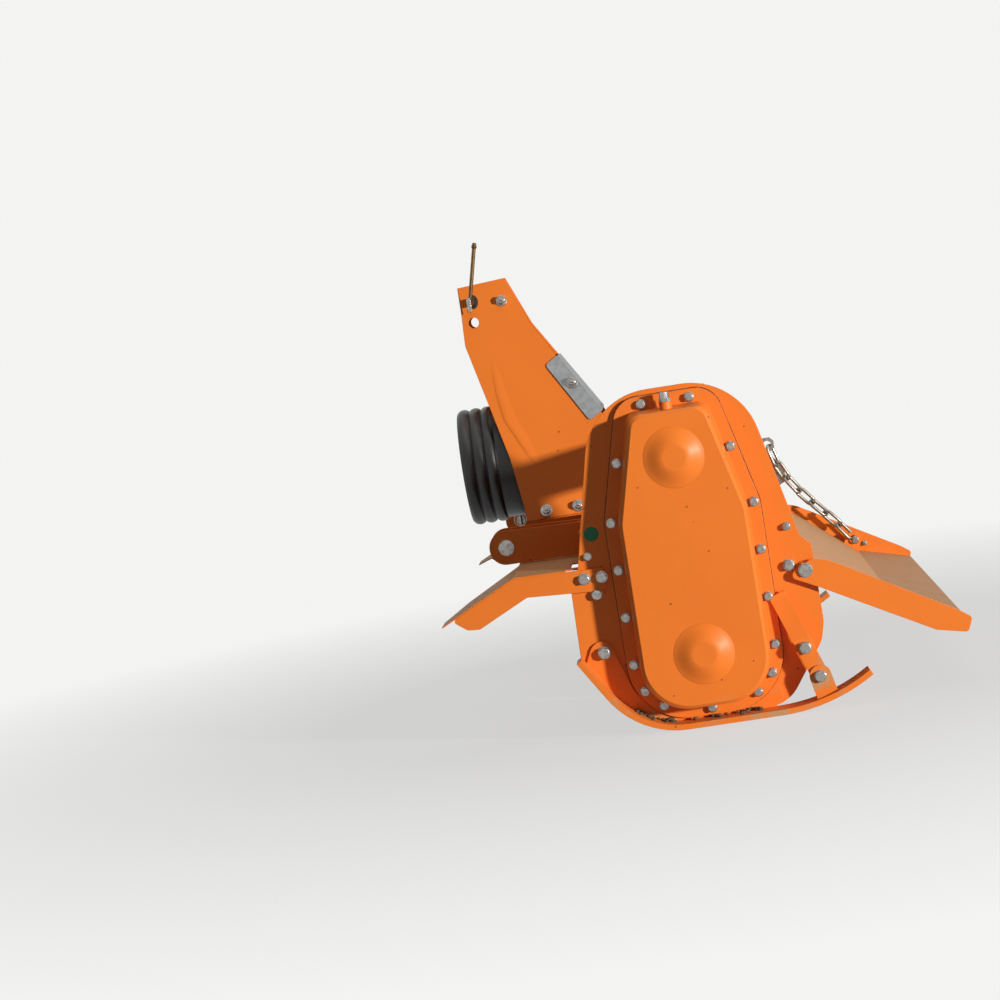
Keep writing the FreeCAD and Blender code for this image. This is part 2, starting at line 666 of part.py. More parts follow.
def flap():
    end_y = half_width + flap_gap
    end_plate = plate([
        (-196, 126, 10), (-253, 157, 14), (-290, 146, 60), (-540, 2, 0), (flap_reach, -16, 8),
        (-553, -46, 8), (-488, -32, 20), (-262, 93, 20),
    ], end_y, flap_end_t)
    pivot_hole = rod_y(pivot_r + running_clearance, flap_pivot_x, flap_pivot_z, end_y, end_y + flap_end_t)
    end_plate = end_plate.cut(pivot_hole)
    parts["flap_ends"] = both_sides(end_plate)

    slope = (8 - 138) / (flap_bend_x - (-268))
    def sheet_z(x):
        return 138 + slope * (x + 268)
    wide = [(flap_notch_x, sheet_z(flap_notch_x)), (flap_bend_x, 8), (flap_reach + 5, -26)]
    narrow = [(-252, sheet_z(-252)), (flap_notch_x, sheet_z(flap_notch_x))]

    def strip(line, half):
        top = [(x, z, 0) for x, z in line]
        low = [(x, z - flap_sheet_t, 0) for x, z in reversed(line)]
        return plate(top + low, -half, 2 * half)

    inner = half_width - plate_t - flap_side_gap
    sheet = strip(wide, end_y).fuse(strip(narrow, inner)).removeSplitter()
    parts["flap_sheet"] = sheet

    eye = chain_eye(chain_low, -1)
    rim = chain_eye_r + eye_rim
    foot_front, foot_rear = eye.x + rim + eye_rim, flap_bend_x + 2
    cut = rim * eye_corner
    lug = plate([(foot_front, sheet_z(foot_front), 0), (eye.x + rim, eye.z + rim - cut, 0),
                 (eye.x + rim - cut, eye.z + rim, 0), (eye.x - rim + cut, eye.z + rim, 0),
                 (eye.x - rim, eye.z + rim - cut, 0), (eye.x - rim, eye.z - rim / 2, 0),
                 (foot_rear, sheet_z(foot_rear), 0)], chain_y - bracket_t / 2, bracket_t)
    parts["flap_lug"] = lug.cut(eye_hole(eye))

    inside = half_width - plate_t
    head_y = end_y + flap_end_t
    shank = rod_y(pivot_r, flap_pivot_x, flap_pivot_z, inside - pivot_head_t, head_y + play)
    head = hexagon_y(pivot_across, flap_pivot_x, flap_pivot_z, head_y + play, head_y + pivot_head_t)
    nut = hexagon_y(pivot_across, flap_pivot_x, flap_pivot_z, inside - pivot_head_t, inside)
    parts["flap_pivots"] = both_sides(shank.fuse(head).fuse(nut).removeSplitter())


def chain_eye(end, towards):
    """Middle of the eye that an end link hangs in: the link's wire lies against its edge."""
    along = chain_low - chain_top
    along.normalize()
    bow_r = chain_inner_wid / 2
    seat = bow_r - math.sqrt(bow_r ** 2 - (bracket_t / 2) ** 2)
    return end - along * towards * (chain_eye_r - play - seat)


def eye_hole(eye):
    """The hole that a chain's end link hangs in."""
    corner_r = chain_eye_r / math.cos(math.pi / bar_sides)
    return prism_y(bar_sides, corner_r, eye.x, eye.z, chain_y - bracket_t, chain_y + bracket_t)


def link():
    """One chain link along X, flat in the XY plane, its middle at the origin.

    Its wire has a corner of its section on the inside, where the next link bears,
    and its two bows are bent in equal steps.
    """
    bow_r = chain_inner_wid / 2 + chain_wire_r
    straight = chain_inner_len / 2 + chain_wire_r - bow_r
    sections = []
    for end, first_turn in ((1, -0.5), (-1, 0.5)):
        for k in range(chain_bow_steps + 1):
            a = (first_turn + k / chain_bow_steps) * math.pi
            out = V(math.cos(a), math.sin(a), 0)
            middle = out * bow_r + V(end * straight, 0, 0)
            turns = [2 * math.pi * j / chain_wire_sides for j in range(chain_wire_sides)]
            sections.append([middle - out * (chain_wire_r * math.cos(c)) + V(0, 0, chain_wire_r * math.sin(c))
                             for c in turns])
    faces = []
    for i, here in enumerate(sections):
        there = sections[(i + 1) % len(sections)]
        for j in range(chain_wire_sides):
            k = (j + 1) % chain_wire_sides
            faces.append(Part.Face(Part.makePolygon([here[j], there[j], there[k], here[k], here[j]])))
    return Part.Solid(Part.Shell(faces))


def chain():
    along = chain_low - chain_top
    turn = FreeCAD.Rotation(V(1, 0, 0), along)
    links = []
    for i in range(chain_links):
        piece = link()
        if i % 2 == 1:
            piece.rotate(V(0, 0, 0), V(1, 0, 0), 90)
        piece.Placement = FreeCAD.Placement(V(0, 0, 0), turn) * piece.Placement
        piece.translate(chain_top + along * ((i + 0.5) / chain_links))
        links.append(piece)
    parts["flap_chain"] = Part.makeCompound(links)


def chain_post():
    """A bracket on the right side plate's inner face that reaches back to the chain's top eye."""
    eye = chain_eye(chain_top, 1)
    rim = chain_eye_r + eye_rim
    wall_y = plate_t - half_width
    cut = rim * eye_corner
    reach = [(eye.x + rim + bracket_len, eye.z + rim, 0), (eye.x - rim + cut, eye.z + rim, 0),
             (eye.x - rim, eye.z + rim - cut, 0), (eye.x - rim, eye.z - rim + cut, 0),
             (eye.x - rim + cut, eye.z - rim, 0), (eye.x + rim + bracket_len, eye.z - rim, 0)]
    arm = plate(reach, chain_y - bracket_t / 2, bracket_t)
    foot = block(eye.x + rim + bracket_len - bracket_t, eye.x + rim + bracket_len,
                 wall_y, chain_y + bracket_t / 2, eye.z - rim, eye.z + rim)
    parts["chain_post"] = arm.fuse(foot).cut(eye_hole(eye)).removeSplitter()


def skid_path(offset):
    """Points along the bar, offset inwards from the sole: front tip, tangent points, rear tip."""
    z = -sole_drop
    a = math.radians(front_arc_deg)
    b = math.radians(rear_arc_deg)

    def front(angle):
        r = front_arc_r - offset
        return V(flat_front + r * math.sin(angle), 0, z + front_arc_r - r * math.cos(angle))

    def rear(angle):
        r = rear_arc_r - offset
        return V(flat_rear - r * math.sin(angle), 0, z + rear_arc_r - r * math.cos(angle))

    tip = front(a) + V(math.cos(a), 0, math.sin(a)) * front_tail
    return tip, front(a), front(a / 2), front(0), rear(0), rear(b / 2), rear(b)


def skids():
    low = skid_path(0)
    high = skid_path(skid_t)
    edges = [
        Part.LineSegment(low[0], low[1]).toShape(),
        Part.Arc(low[1], low[2], low[3]).toShape(),
        Part.LineSegment(low[3], low[4]).toShape(),
        Part.Arc(low[4], low[5], low[6]).toShape(),
        Part.LineSegment(low[6], high[6]).toShape(),
        Part.Arc(high[6], high[5], high[4]).toShape(),
        Part.LineSegment(high[4], high[3]).toShape(),
        Part.Arc(high[3], high[2], high[1]).toShape(),
        Part.LineSegment(high[1], high[0]).toShape(),
        Part.LineSegment(high[0], low[0]).toShape(),
    ]
    bar = Part.Face(Part.Wire(edges)).extrude(V(0, skid_out, 0))
    bar.translate(V(0, half_width, 0))
    web = plate([(250, 2, 0), (232, 42, 27), (196, 56, 25), (178, -4, 20), (152, -84, 70), (70, -130, 0),
                 (-125, -92, 0), (-145, -95, 0), (-152, -128, 6), (-126, skid_t / 2 - sole_drop, 0),
                 (60, skid_t / 2 - sole_drop, 0), (130, -136, 60), (205, -78, 60)],
                half_width, web_t)
    web = web.cut(plate(case_flange_outline(1.0), half_width, web_t))
    lean = math.radians(skid_lug_lean)
    drop = V(-math.sin(lean), 0, -math.cos(lean)) * skid_lug_drop
    aside = V(math.cos(lean), 0, -math.sin(lean)) * skid_lug_half
    crown = drop * (-skid_lug_half / skid_lug_drop)
    corners = [skid_lug + crown - aside, skid_lug + crown + aside,
               skid_lug + drop + aside, skid_lug + drop - aside]
    round_r = skid_lug_half - 0.1
    lug = plate([(p.x, p.z, r) for p, r in zip(corners, (round_r, round_r, 0, 0))],
                strap_y + strap_step + strap_t, web_t)
    skid = bar.fuse(web).fuse(lug).removeSplitter()
    parts["skids"] = both_sides(skid)

    down = skid_lug - strap_top
    run = down.Length + strap_end
    down.normalize()
    across = V(-down.z, 0, down.x)
    top = [(0, 0), (strap_flat, 0), (strap_flat + strap_bend, strap_step), (run, strap_step)]
    side = [V(along, out, -strap_half) for along, out in top]
    side += [V(along, out + strap_t, -strap_half) for along, out in reversed(top)]
    strap = Part.Face(Part.makePolygon(side + side[:1])).extrude(V(0, 0, 2 * strap_half))
    matrix = FreeCAD.Matrix(down.x, 0, across.x, strap_top.x,
                            0, 1, 0, strap_y,
                            down.z, 0, across.z, strap_top.z,
                            0, 0, 0, 1)
    strap.Placement = FreeCAD.Placement(matrix)
    bolt = strap_top + down * strap_bolt
    spacer = rod_y(strap_spacer_r, bolt.x, bolt.z, half_width, strap_y + strap_step + 1)
    parts["skid_straps"] = both_sides(strap.fuse(spacer).removeSplitter())


def save():
    box = FreeCAD.BoundBox()
    for shape in parts.values():
        box.add(shape.BoundBox)
    shift = V(-box.Center.x, -box.Center.y, -box.ZMin)
    os.makedirs("parts", exist_ok=True)
    for name, shape in parts.items():
        shape.translate(shift)
        shape.exportStep("parts/%s.step" % name)
    print("nodes", len(parts), "box", round(box.XLength, 1), round(box.YLength, 1), round(box.ZLength, 1))
    print("origin moved by", [round(c, 3) for c in shift])


side_plates()
drive_case()
right_bearing()
rotor()
hood()
gearbox()
input_guard()
mast()
beam_and_hitch()
front_guard()
flap()
chain()
chain_post()
skids()
save()
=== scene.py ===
# %% [markdown]
# A rotary tiller that is carried on a three-point hitch. Its steel pieces come from the CAD
# frame. This lesson adds what the frame leaves out: paint, dust and wear, bolts and washers,
# weld beads, the chain's round wire, and the light and camera of a studio.

# %% The frame and its box
import json
import math

import bmesh
import bpy
import numpy as np
from mathutils import Matrix, Vector


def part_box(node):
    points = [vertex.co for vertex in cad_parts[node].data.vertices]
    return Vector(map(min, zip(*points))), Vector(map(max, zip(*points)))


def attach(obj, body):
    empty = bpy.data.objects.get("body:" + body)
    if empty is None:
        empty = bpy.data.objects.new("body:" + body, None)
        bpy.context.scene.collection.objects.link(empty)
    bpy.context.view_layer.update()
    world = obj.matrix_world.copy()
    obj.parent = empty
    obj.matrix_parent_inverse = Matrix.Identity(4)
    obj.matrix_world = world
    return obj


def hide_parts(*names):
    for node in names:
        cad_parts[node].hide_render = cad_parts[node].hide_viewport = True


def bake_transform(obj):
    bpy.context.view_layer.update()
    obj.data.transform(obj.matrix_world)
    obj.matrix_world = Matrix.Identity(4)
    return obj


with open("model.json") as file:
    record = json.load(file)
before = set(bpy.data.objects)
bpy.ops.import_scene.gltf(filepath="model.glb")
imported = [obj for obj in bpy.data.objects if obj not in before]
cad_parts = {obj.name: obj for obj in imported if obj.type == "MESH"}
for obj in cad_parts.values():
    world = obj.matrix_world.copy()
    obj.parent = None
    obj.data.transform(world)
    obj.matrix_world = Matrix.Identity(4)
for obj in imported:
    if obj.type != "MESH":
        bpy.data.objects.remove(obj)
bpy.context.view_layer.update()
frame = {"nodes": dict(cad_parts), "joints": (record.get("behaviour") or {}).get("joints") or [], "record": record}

# %% [markdown]
# The machine was drawn round its rotor's axis: X forward, Y to the left, Z up, in millimetres.
# Its own measures are easier to think in than the frame's, so one small function turns a
# place on the machine into a place in the frame. The rotor's joint says where the axis is.

# %% Places on the machine
MM = 0.001
JOINT_AT = {joint["name"]: np.array(joint["pos_m"]) for joint in frame["joints"]}
AXIS = JOINT_AT["rotor_spin"]


def at(x, y, z):
    """A place on the machine, in millimetres from the rotor's axis, as metres in the frame."""
    return AXIS + np.array([x, y, z], float) * MM


def edge_of(node, axis, high=True):
    """Where a node ends along an axis, in millimetres from the rotor's axis."""
    return (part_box(node)[1 if high else 0][axis] - AXIS[axis]) / MM


PLATE_T, FLANGE_T = 10.0, 12.0
PLATE_FACE = edge_of("hood", 1) + PLATE_T
FLANGE_FACE = PLATE_FACE + FLANGE_T
SHAFT_RISE = (JOINT_AT["input_spin"][2] - AXIS[2]) / MM
print("rotor axis", AXIS.round(4), "plate face", round(PLATE_FACE, 1), "input at", round(SHAFT_RISE, 1))

# %% [markdown]
# The photograph looks at the drive case's side from a standing height, a few metres away, with
# a long lens. It shows the machine lifted, with its nose up by nine degrees. A machine that
# stands on its skids is level, so here the camera is rolled by that angle instead, which gives
# the same picture.

# %% The camera
LENS_MM, SENSOR_MM = 97.2, 36.0
CAMERA_AT = at(-11, 6320, 801)
ROLL, YAW, PITCH = (math.radians(a) for a in (9.13, 3.17, 4.83))
right0 = Vector((-math.cos(ROLL), 0, -math.sin(ROLL)))
up0 = Vector((-math.sin(ROLL), 0, math.cos(ROLL)))
ahead0 = Vector((0, -1, 0))
level_ahead = ahead0 * math.cos(YAW) - right0 * math.sin(YAW)
right = right0 * math.cos(YAW) + ahead0 * math.sin(YAW)
ahead = level_ahead * math.cos(PITCH) - up0 * math.sin(PITCH)
up = up0 * math.cos(PITCH) + level_ahead * math.sin(PITCH)

camera_data = bpy.data.cameras.new("camera")
camera_data.lens, camera_data.sensor_width = LENS_MM, SENSOR_MM
camera = bpy.data.objects.new("camera", camera_data)
camera_place = Matrix((right, up, -ahead)).transposed().to_4x4()
camera_place.translation = Vector(CAMERA_AT)
camera.matrix_world = camera_place
bpy.context.scene.collection.objects.link(camera)
bpy.context.scene.camera = camera
print("camera at", [round(v, 3) for v in camera_place.translation])

# %% [markdown]
# Low evening sun comes from the rear, on the camera's side: the drive cover's front wall is dark,
# and each bolt's shadow falls forward. A lamp far out in that direction stands for the sun. From
# there its light falls off little between the machine's rear and its front, as sunlight doesn't
# at all. A wide lamp overhead and a dim world fill the shadows.

# %% Lamps and world
bpy.context.scene.view_settings.view_transform = "Standard"
TARGET = Vector(at(0, 300, 250))
SKY, SKY_STRENGTH = (0.93, 0.95, 1.0, 1), 0.07


def area_lamp(name, direction, distance, size, power, colour):
    """A square lamp that looks at the machine's middle from a direction."""
    data = bpy.data.lights.new(name, "AREA")
    data.shape, data.size, data.energy, data.color = "SQUARE", size, power, colour
    lamp = bpy.data.objects.new(name, data)
    lamp.location = TARGET + Vector(direction).normalized() * distance
    lamp.rotation_euler = (TARGET - lamp.location).to_track_quat("-Z", "Y").to_euler()
    bpy.context.scene.collection.objects.link(lamp)


area_lamp("key_lamp", (-0.73, 0.68, 0.11), distance=14.0, size=0.7, power=2200, colour=(1.0, 0.96, 0.90))
area_lamp("top_lamp", (-0.15, 0.05, 1.0), distance=5.0, size=4.0, power=45, colour=(0.97, 0.98, 1.0))
world = bpy.data.worlds.new("studio")
bpy.context.scene.world = world
world.use_nodes = True
world.node_tree.nodes["Background"].inputs["Color"].default_value = SKY
world.node_tree.nodes["Background"].inputs["Strength"].default_value = SKY_STRENGTH

# %% [markdown]
# A material is a small graph of nodes. A short class keeps its making readable: node() adds a
# node and fills its sockets by name, from plain values or from another node's output, and
# the helpers below it give the few patterns that every finish here needs.

# %% A node graph helper
class Graph:
    """Builds one material's node tree."""

    def __init__(self, name):
        self.material = bpy.data.materials.new(name)
        self.material.use_nodes = True
        self.tree = self.material.node_tree
        self.tree.nodes.clear()
        self.place = self.node("ShaderNodeTexCoord").outputs["Object"]

    def node(self, kind, settings=None, **sockets):
        """Adds a node; settings are its attributes, sockets its inputs with spaces as _."""
        made = self.tree.nodes.new(kind)
        for key, value in (settings or {}).items():
            setattr(made, key, value)
        for key, value in sockets.items():
            self.fill(made.inputs[key.replace("_", " ")], value)
        return made

    def fill(self, socket, value):
        """Links another node's output to a socket, or sets the socket's own value."""
        if isinstance(value, bpy.types.NodeSocket):
            self.tree.links.new(value, socket)
        else:
            socket.default_value = value

    def math(self, operation, first, second=0.0, clamp=False):
        """A sum, product or other plain operation on two values."""
        made = self.tree.nodes.new("ShaderNodeMath")
        made.operation, made.use_clamp = operation, clamp
        self.fill(made.inputs[0], first)
        self.fill(made.inputs[1], second)
        return made.outputs[0]

    def noise(self, scale, detail=4.0, roughness=0.55, stretch=(1, 1, 1)):
        """Noise on the piece's own place; scale counts its features in a metre."""
        spread = self.node("ShaderNodeMapping", Vector=self.place, Scale=stretch)
        made = self.node("ShaderNodeTexNoise", Vector=spread.outputs[0], Scale=scale,
                         Detail=detail, Roughness=roughness)
        return made.outputs["Fac"]

    def ramp(self, value, low, high, to_low=0.0, to_high=1.0):
        """Carries low..high of a value to to_low..to_high, and stays there beyond them."""
        made = self.node("ShaderNodeMapRange", {"clamp": True}, Value=value)
        ends = (("From Min", low), ("From Max", high), ("To Min", to_low), ("To Max", to_high))
        for key, number in ends:
            made.inputs[key].default_value = number
        return made.outputs[0]

    def mix(self, share, first, second):
        """A colour between first and second."""
        made = self.node("ShaderNodeMix", {"data_type": "RGBA"})
        self.fill(made.inputs[0], share)
        self.fill(made.inputs[6], first)
        self.fill(made.inputs[7], second)
        return made.outputs[2]

    def edges(self, radius):
        """1 on the rounded stretch beside an edge, 0 away from it."""
        bevel = self.node("ShaderNodeBevel", {"samples": 6}, Radius=radius)
        plain = self.node("ShaderNodeNewGeometry").outputs["Normal"]
        match = self.node("ShaderNodeVectorMath", {"operation": "DOT_PRODUCT"})
        self.fill(match.inputs[0], bevel.outputs[0])
        self.fill(match.inputs[1], plain)
        return self.ramp(match.outputs["Value"], 0.999, 0.93)

    def height(self):
        """Height over the floor in metres."""
        return self.node("ShaderNodeSeparateXYZ", Vector=self.place).outputs["Z"]

    def facing_up(self):
        """1 on a level top face, 0 on a wall."""
        normal = self.node("ShaderNodeNewGeometry").outputs["Normal"]
        return self.node("ShaderNodeSeparateXYZ", Vector=normal).outputs["Z"]

    def bump(self, relief, strength, distance, bevel_radius=0.0):
        """A normal with small relief, over corners rounded by bevel_radius."""
        made = self.node("ShaderNodeBump", Height=relief, Strength=strength, Distance=distance)
        if bevel_radius:
            bevel = self.node("ShaderNodeBevel", {"samples": 6}, Radius=bevel_radius)
            self.fill(made.inputs["Normal"], bevel.outputs[0])
        return made.outputs[0]

    def finish(self, **sockets):
        """Ends the graph in one Principled surface and gives the material."""
        shader = self.node("ShaderNodeBsdfPrincipled", **sockets)
        output = self.node("ShaderNodeOutputMaterial")
        self.tree.links.new(shader.outputs[0], output.inputs[0])
        return self.material


print("graph helper ready")

# %% [markdown]
# The paint is a thick orange enamel, sprayed on blasted steel. Four things keep it from
# looking like plastic: a shallow orange peel that breaks up reflections, edges where the paint
# is thin and knocks have darkened it, small dark specks, and dried soil, which settles on top
# faces and thickens towards the floor. The soil is dull, so roughness follows the same mask as
# its colour. The specks are the middles of Voronoi cells, which lie apart as splashes do.

# %% Paint
ORANGE = (0.88, 0.218, 0.027, 1)
ORANGE_DEEP = (0.78, 0.175, 0.020, 1)
CHIPPED = (0.20, 0.115, 0.075, 1)
SOIL = (0.43, 0.32, 0.165, 1)
SPECK = (0.10, 0.05, 0.028, 1)


def orange_paint(name, soil_top=0.12, soil_amount=0.12, dust=0.0):
    """Enamel with soil in its low places up to soil_top metres, and dust settled on level tops."""
    g = Graph(name)
    shade = g.ramp(g.noise(5.0, 3), 0.35, 0.65)
    colour = g.mix(g.math("MULTIPLY", shade, 0.35), ORANGE, ORANGE_DEEP)
    chips = g.math("MULTIPLY", g.edges(0.0016), g.ramp(g.noise(60, 6, 0.7), 0.62, 0.68))
    colour = g.mix(g.math("MULTIPLY", chips, 0.7), colour, CHIPPED)
    spot = g.node("ShaderNodeTexVoronoi", Vector=g.place, Scale=22.0).outputs["Distance"]
    colour = g.mix(g.ramp(spot, 0.058, 0.040, 0.0, 0.75), colour, SPECK)
    low = g.ramp(g.height(), soil_top, soil_top * 0.15, 0.0, soil_amount)
    patches = g.math("ADD", g.ramp(g.noise(14, 8, 0.62), 0.38, 0.66, -0.5, 0.55), low)
    reach = g.ramp(g.height(), soil_top * 1.3, soil_top, 0.0, min(0.8, soil_amount * 1.6))
    soil = g.math("MULTIPLY", g.ramp(patches, 0.42, 1.0), reach)
    streaks = g.ramp(g.noise(2.6, 3, 0.5, (1.0, 0.6, 1.0)), 0.3, 0.7, 0.82, 1.0)
    settled = g.math("MULTIPLY", g.ramp(g.facing_up(), 0.15, 0.75, 0.0, dust), streaks)
    soil = g.math("MAXIMUM", soil, settled)
    colour = g.mix(soil, colour, SOIL)
    rough = g.ramp(g.noise(26, 5), 0.3, 0.7, 0.36, 0.47)
    rough = g.math("ADD", rough, g.math("MULTIPLY", g.math("MAXIMUM", soil, chips), 0.3), True)
    peel = g.math("ADD", g.math("MULTIPLY", g.noise(420, 2), 0.5), g.math("MULTIPLY", soil, g.noise(900, 4)))
    return g.finish(Base_Color=colour, Roughness=rough, Coat_Weight=0.04, Coat_Roughness=0.30,
                    Specular_IOR_Level=0.22, Normal=g.bump(peel, 0.3, 0.0005, 0.0018))


PAINT = orange_paint("orange_paint")
PAINT_LOW = orange_paint("orange_paint_soiled", soil_top=0.14, soil_amount=0.5, dust=0.14)
PAINT_DUSTY = orange_paint("orange_paint_dusty", soil_top=0.12, soil_amount=0.2, dust=0.78)
print("paints", PAINT.name, PAINT_LOW.name, PAINT_DUSTY.name)

# %% [markdown]
# The small steel has seven finishes from one function, which clouds between a bright and a dark tone and lets
# grime sit in patches. Bolts are zinc plated. The chain's zinc has turned warmer, and the top link pin is
# passivated to a yellow brown. The clamp over the mast is dull galvanised sheet. The hoes are forged steel that
# soil has scoured to a dark sheen, turned shafts are bright, and the filler plug is chrome that has lost some of
# its shine.

# %% Bare and plated steel
def plated(name, bright, dark, roughness, cloud_scale, soil=0.0):
    """Plated steel with cloudy patches between two tones, and soil in patches."""
    g = Graph(name)
    cloud = g.ramp(g.noise(cloud_scale, 6, 0.6), 0.32, 0.68)
    colour = g.mix(cloud, bright, dark)
    grime = g.math("MULTIPLY", g.ramp(g.noise(90, 6, 0.65), 0.5, 0.7), soil)
    colour = g.mix(grime, colour, SOIL)
    rough = g.math("ADD", g.ramp(cloud, 0, 1, roughness, roughness + 0.16),
                   g.math("MULTIPLY", grime, 0.4), True)
    metal = g.math("SUBTRACT", 1.0, grime, True)
    return g.finish(Base_Color=colour, Roughness=rough, Metallic=metal,
                    Normal=g.bump(g.noise(700, 3), 0.25, 0.0003, 0.0008))


# The zinc's two tones are tinted warm, a painted reflection of the brown soil round the machine.
ZINC_WARM_REFLECTION = plated("zinc", (0.45, 0.43, 0.405, 1), (0.225, 0.212, 0.20, 1), 0.26, 160, 0.22)
CHAIN_ZINC = plated("chain_zinc", (0.44, 0.41, 0.36, 1), (0.22, 0.195, 0.165, 1), 0.24, 190, 0.22)
PASSIVATED = plated("passivated_steel", (0.16, 0.098, 0.042, 1), (0.075, 0.044, 0.02, 1), 0.26, 60, 0.06)
GALVANISED = plated("galvanised", (0.31, 0.325, 0.335, 1), (0.24, 0.25, 0.26, 1), 0.54, 70, 0.05)
HOE_STEEL = plated("worked_steel", (0.21, 0.19, 0.17, 1), (0.10, 0.084, 0.07, 1), 0.40, 22, 0.75)
MACHINED = plated("machined_steel", (0.62, 0.61, 0.59, 1), (0.42, 0.41, 0.39, 1), 0.24, 240, 0.1)
CHROME = plated("chrome", (0.42, 0.42, 0.42, 1), (0.26, 0.26, 0.265, 1), 0.16, 120, 0.12)
print("steels", [m.name for m in (ZINC_WARM_REFLECTION, CHAIN_ZINC, PASSIVATED, GALVANISED, HOE_STEEL, MACHINED, CHROME)])

# %% [markdown]
# The input guard is blown polyethylene: black, waxy and a little dusty, with a faint grain.

# %% Black plastic
def black_plastic():
    """Black, with dust in patches that are denser where the surface faces up, and duller there."""
    g = Graph("black_plastic")
    on_top = g.ramp(g.facing_up(), -0.2, 0.9, 0.15, 0.5)
    dust = g.math("MULTIPLY", g.ramp(g.noise(9, 7, 0.65), 0.42, 0.75), on_top)
    colour = g.mix(dust, (0.009, 0.009, 0.0095, 1), (0.085, 0.07, 0.055, 1))
    rough = g.ramp(dust, 0.0, 0.5, 0.34, 0.7)
    return g.finish(Base_Color=colour, Roughness=rough, Specular_IOR_Level=0.5,
                    Normal=g.bump(g.noise(500, 3), 0.3, 0.0004, 0.003))


BLACK_PLASTIC = black_plastic()
print("plastic", BLACK_PLASTIC.name)

# %% [markdown]
# Every CAD node gets the finish that its slot in the record names, but for a few. Pieces near the
# soil take the soiled paint, broad sheets that face up take the dusty one, and the top link pin
# is passivated.

# %% Finishes for the CAD nodes
FINISH = {"orange_paint": PAINT, "zinc": ZINC_WARM_REFLECTION, "galvanised": GALVANISED, "black_plastic": BLACK_PLASTIC,
          "worked_steel": HOE_STEEL, "machined_steel": MACHINED, "chrome": CHROME}
OWN_FINISH = {"skids": PAINT_LOW, "rotor_tube": PAINT_LOW, "skid_straps": PAINT_LOW,
              "flap_sheet": PAINT_DUSTY, "front_guard": PAINT_DUSTY, "hood": PAINT_DUSTY,
              "top_link_pin": PASSIVATED}
for part in frame["record"]["subparts"]:
    finish = OWN_FINISH.get(part["node"], FINISH[part["material_slot"]])
    for slot in frame["nodes"][part["node"]].material_slots:
        slot.material = finish

# %% [markdown]
# New pieces are surfaces on grids: an array of rows and columns of points, joined by quads.
# One function turns any number of such grids into a single closed piece. Rows that shrink to a
# point are merged there, and the faces are turned outwards, so every pole and seam is closed.

# %% From grids to a piece
def quads(rows, cols):
    """The four corners of each cell of a grid whose last column joins its first."""
    i, j = np.meshgrid(np.arange(rows - 1), np.arange(cols), indexing="ij")
    k = (j + 1) % cols
    return np.stack([i * cols + j, i * cols + k, (i + 1) * cols + k, (i + 1) * cols + j], -1).reshape(-1, 4)


def piece(name, grids, material, body="root", sharp=35):
    """Joins grids (rows, columns, 3), whose columns run round, into one smooth-shaded object."""
    points, faces, start = [], [], 0
    for grid in grids:
        rows, cols = grid.shape[:2]
        points.append(grid.reshape(-1, 3))
        faces.append(quads(rows, cols) + start)
        start += rows * cols
    mesh = bpy.data.meshes.new(name)
    mesh.from_pydata(np.concatenate(points).tolist(), [], np.concatenate(faces).tolist())
    shell = bmesh.new()
    shell.from_mesh(mesh)
    bmesh.ops.remove_doubles(shell, verts=shell.verts, dist=1e-6)
    bmesh.ops.dissolve_degenerate(shell, edges=shell.edges, dist=1e-7)
    bmesh.ops.recalc_face_normals(shell, faces=shell.faces)
    shell.to_mesh(mesh)
    shell.free()
    mesh.polygons.foreach_set("use_smooth", np.ones(len(mesh.polygons), bool))
    mesh.set_sharp_from_angle(angle=math.radians(sharp))
    mesh.materials.append(material)
    made = bpy.data.objects.new(name, mesh)
    bpy.context.scene.collection.objects.link(made)
    if body:
        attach(made, body)
    print(name, len(mesh.polygons), "faces")
    return made


# %% [markdown]
# A small shape is easiest to draw round its own Z axis. A stand, which is a rotation and a place,
# then carries it to a surface of the machine. Most round shapes here are turned on a lathe.

# %% Round shapes and where they stand
def stand(place, normal, turn=0.0):
    """A rotation that takes a shape's Z to a surface's normal, turned about it, and its place."""
    z = Vector(normal).normalized()
    x = Vector((0, 0, 1)).cross(z)
    x = x.normalized() if x.length > 0.1 else Vector((1, 0, 0))
    turned = Matrix((x, z.cross(x), z)).transposed() @ Matrix.Rotation(turn, 3, "Z")
    return np.array(turned), np.array(place)


def moved(grid, where):
    """A grid in millimetres carried to its stand, in metres."""
    turned, place = where
    return grid @ turned.T * MM + place


def full_turn(count):
    """Angles once round, without the last, which would repeat the first."""
    return np.linspace(0, 2 * np.pi, count, endpoint=False)


def ellipse(half_wide, half_high, count=48):
    """Points at half_wide * cos a and half_high * sin a."""
    a = full_turn(count)
    return np.stack([half_wide * np.cos(a), half_high * np.sin(a)], -1)


def lathe(profile, sides=48):
    """Carries a profile of (radius, height) round the Z axis: the angle is the second parameter."""
    r, z = np.array(profile, float).T
    a = full_turn(sides)
    return np.stack([np.outer(r, np.cos(a)), np.outer(r, np.sin(a)), np.outer(z, np.ones(sides))], -1)


print("a full turn in quarters", full_turn(4).round(2).tolist())

# %% [markdown]
# A hexagon head is turned from a bar, so its top corners are cut back by a cone. On a grid
# that is one formula: at each angle the flat is across/2 divided by the cosine of the angle
# from the middle of its side, and the cone lowers the rim where the flat reaches far out.

# %% Bolts, nuts and washers
WASHER_T, THREAD_STEP, SOFT_RIM = 2.4, 0.875, 0.4


def hexagon(across, height, base=0.0):
    """A chamfered head: the rim is lowered by the reach past the cone times tan 30."""
    a = full_turn(36)
    flat = across / 2 / np.cos((a + np.pi / 6) % (np.pi / 3) - np.pi / 6)
    cone_r = across / 2 * 0.94
    rim = base + height - (flat - cone_r) * math.tan(math.radians(30))
    rings = [(0 * a, base), (flat, base), (flat, rim), (cone_r + 0 * a, base + height),
             (0 * a, base + height)]
    return np.stack([np.stack([r * np.cos(a), r * np.sin(a), z + 0 * a], -1) for r, z in rings])


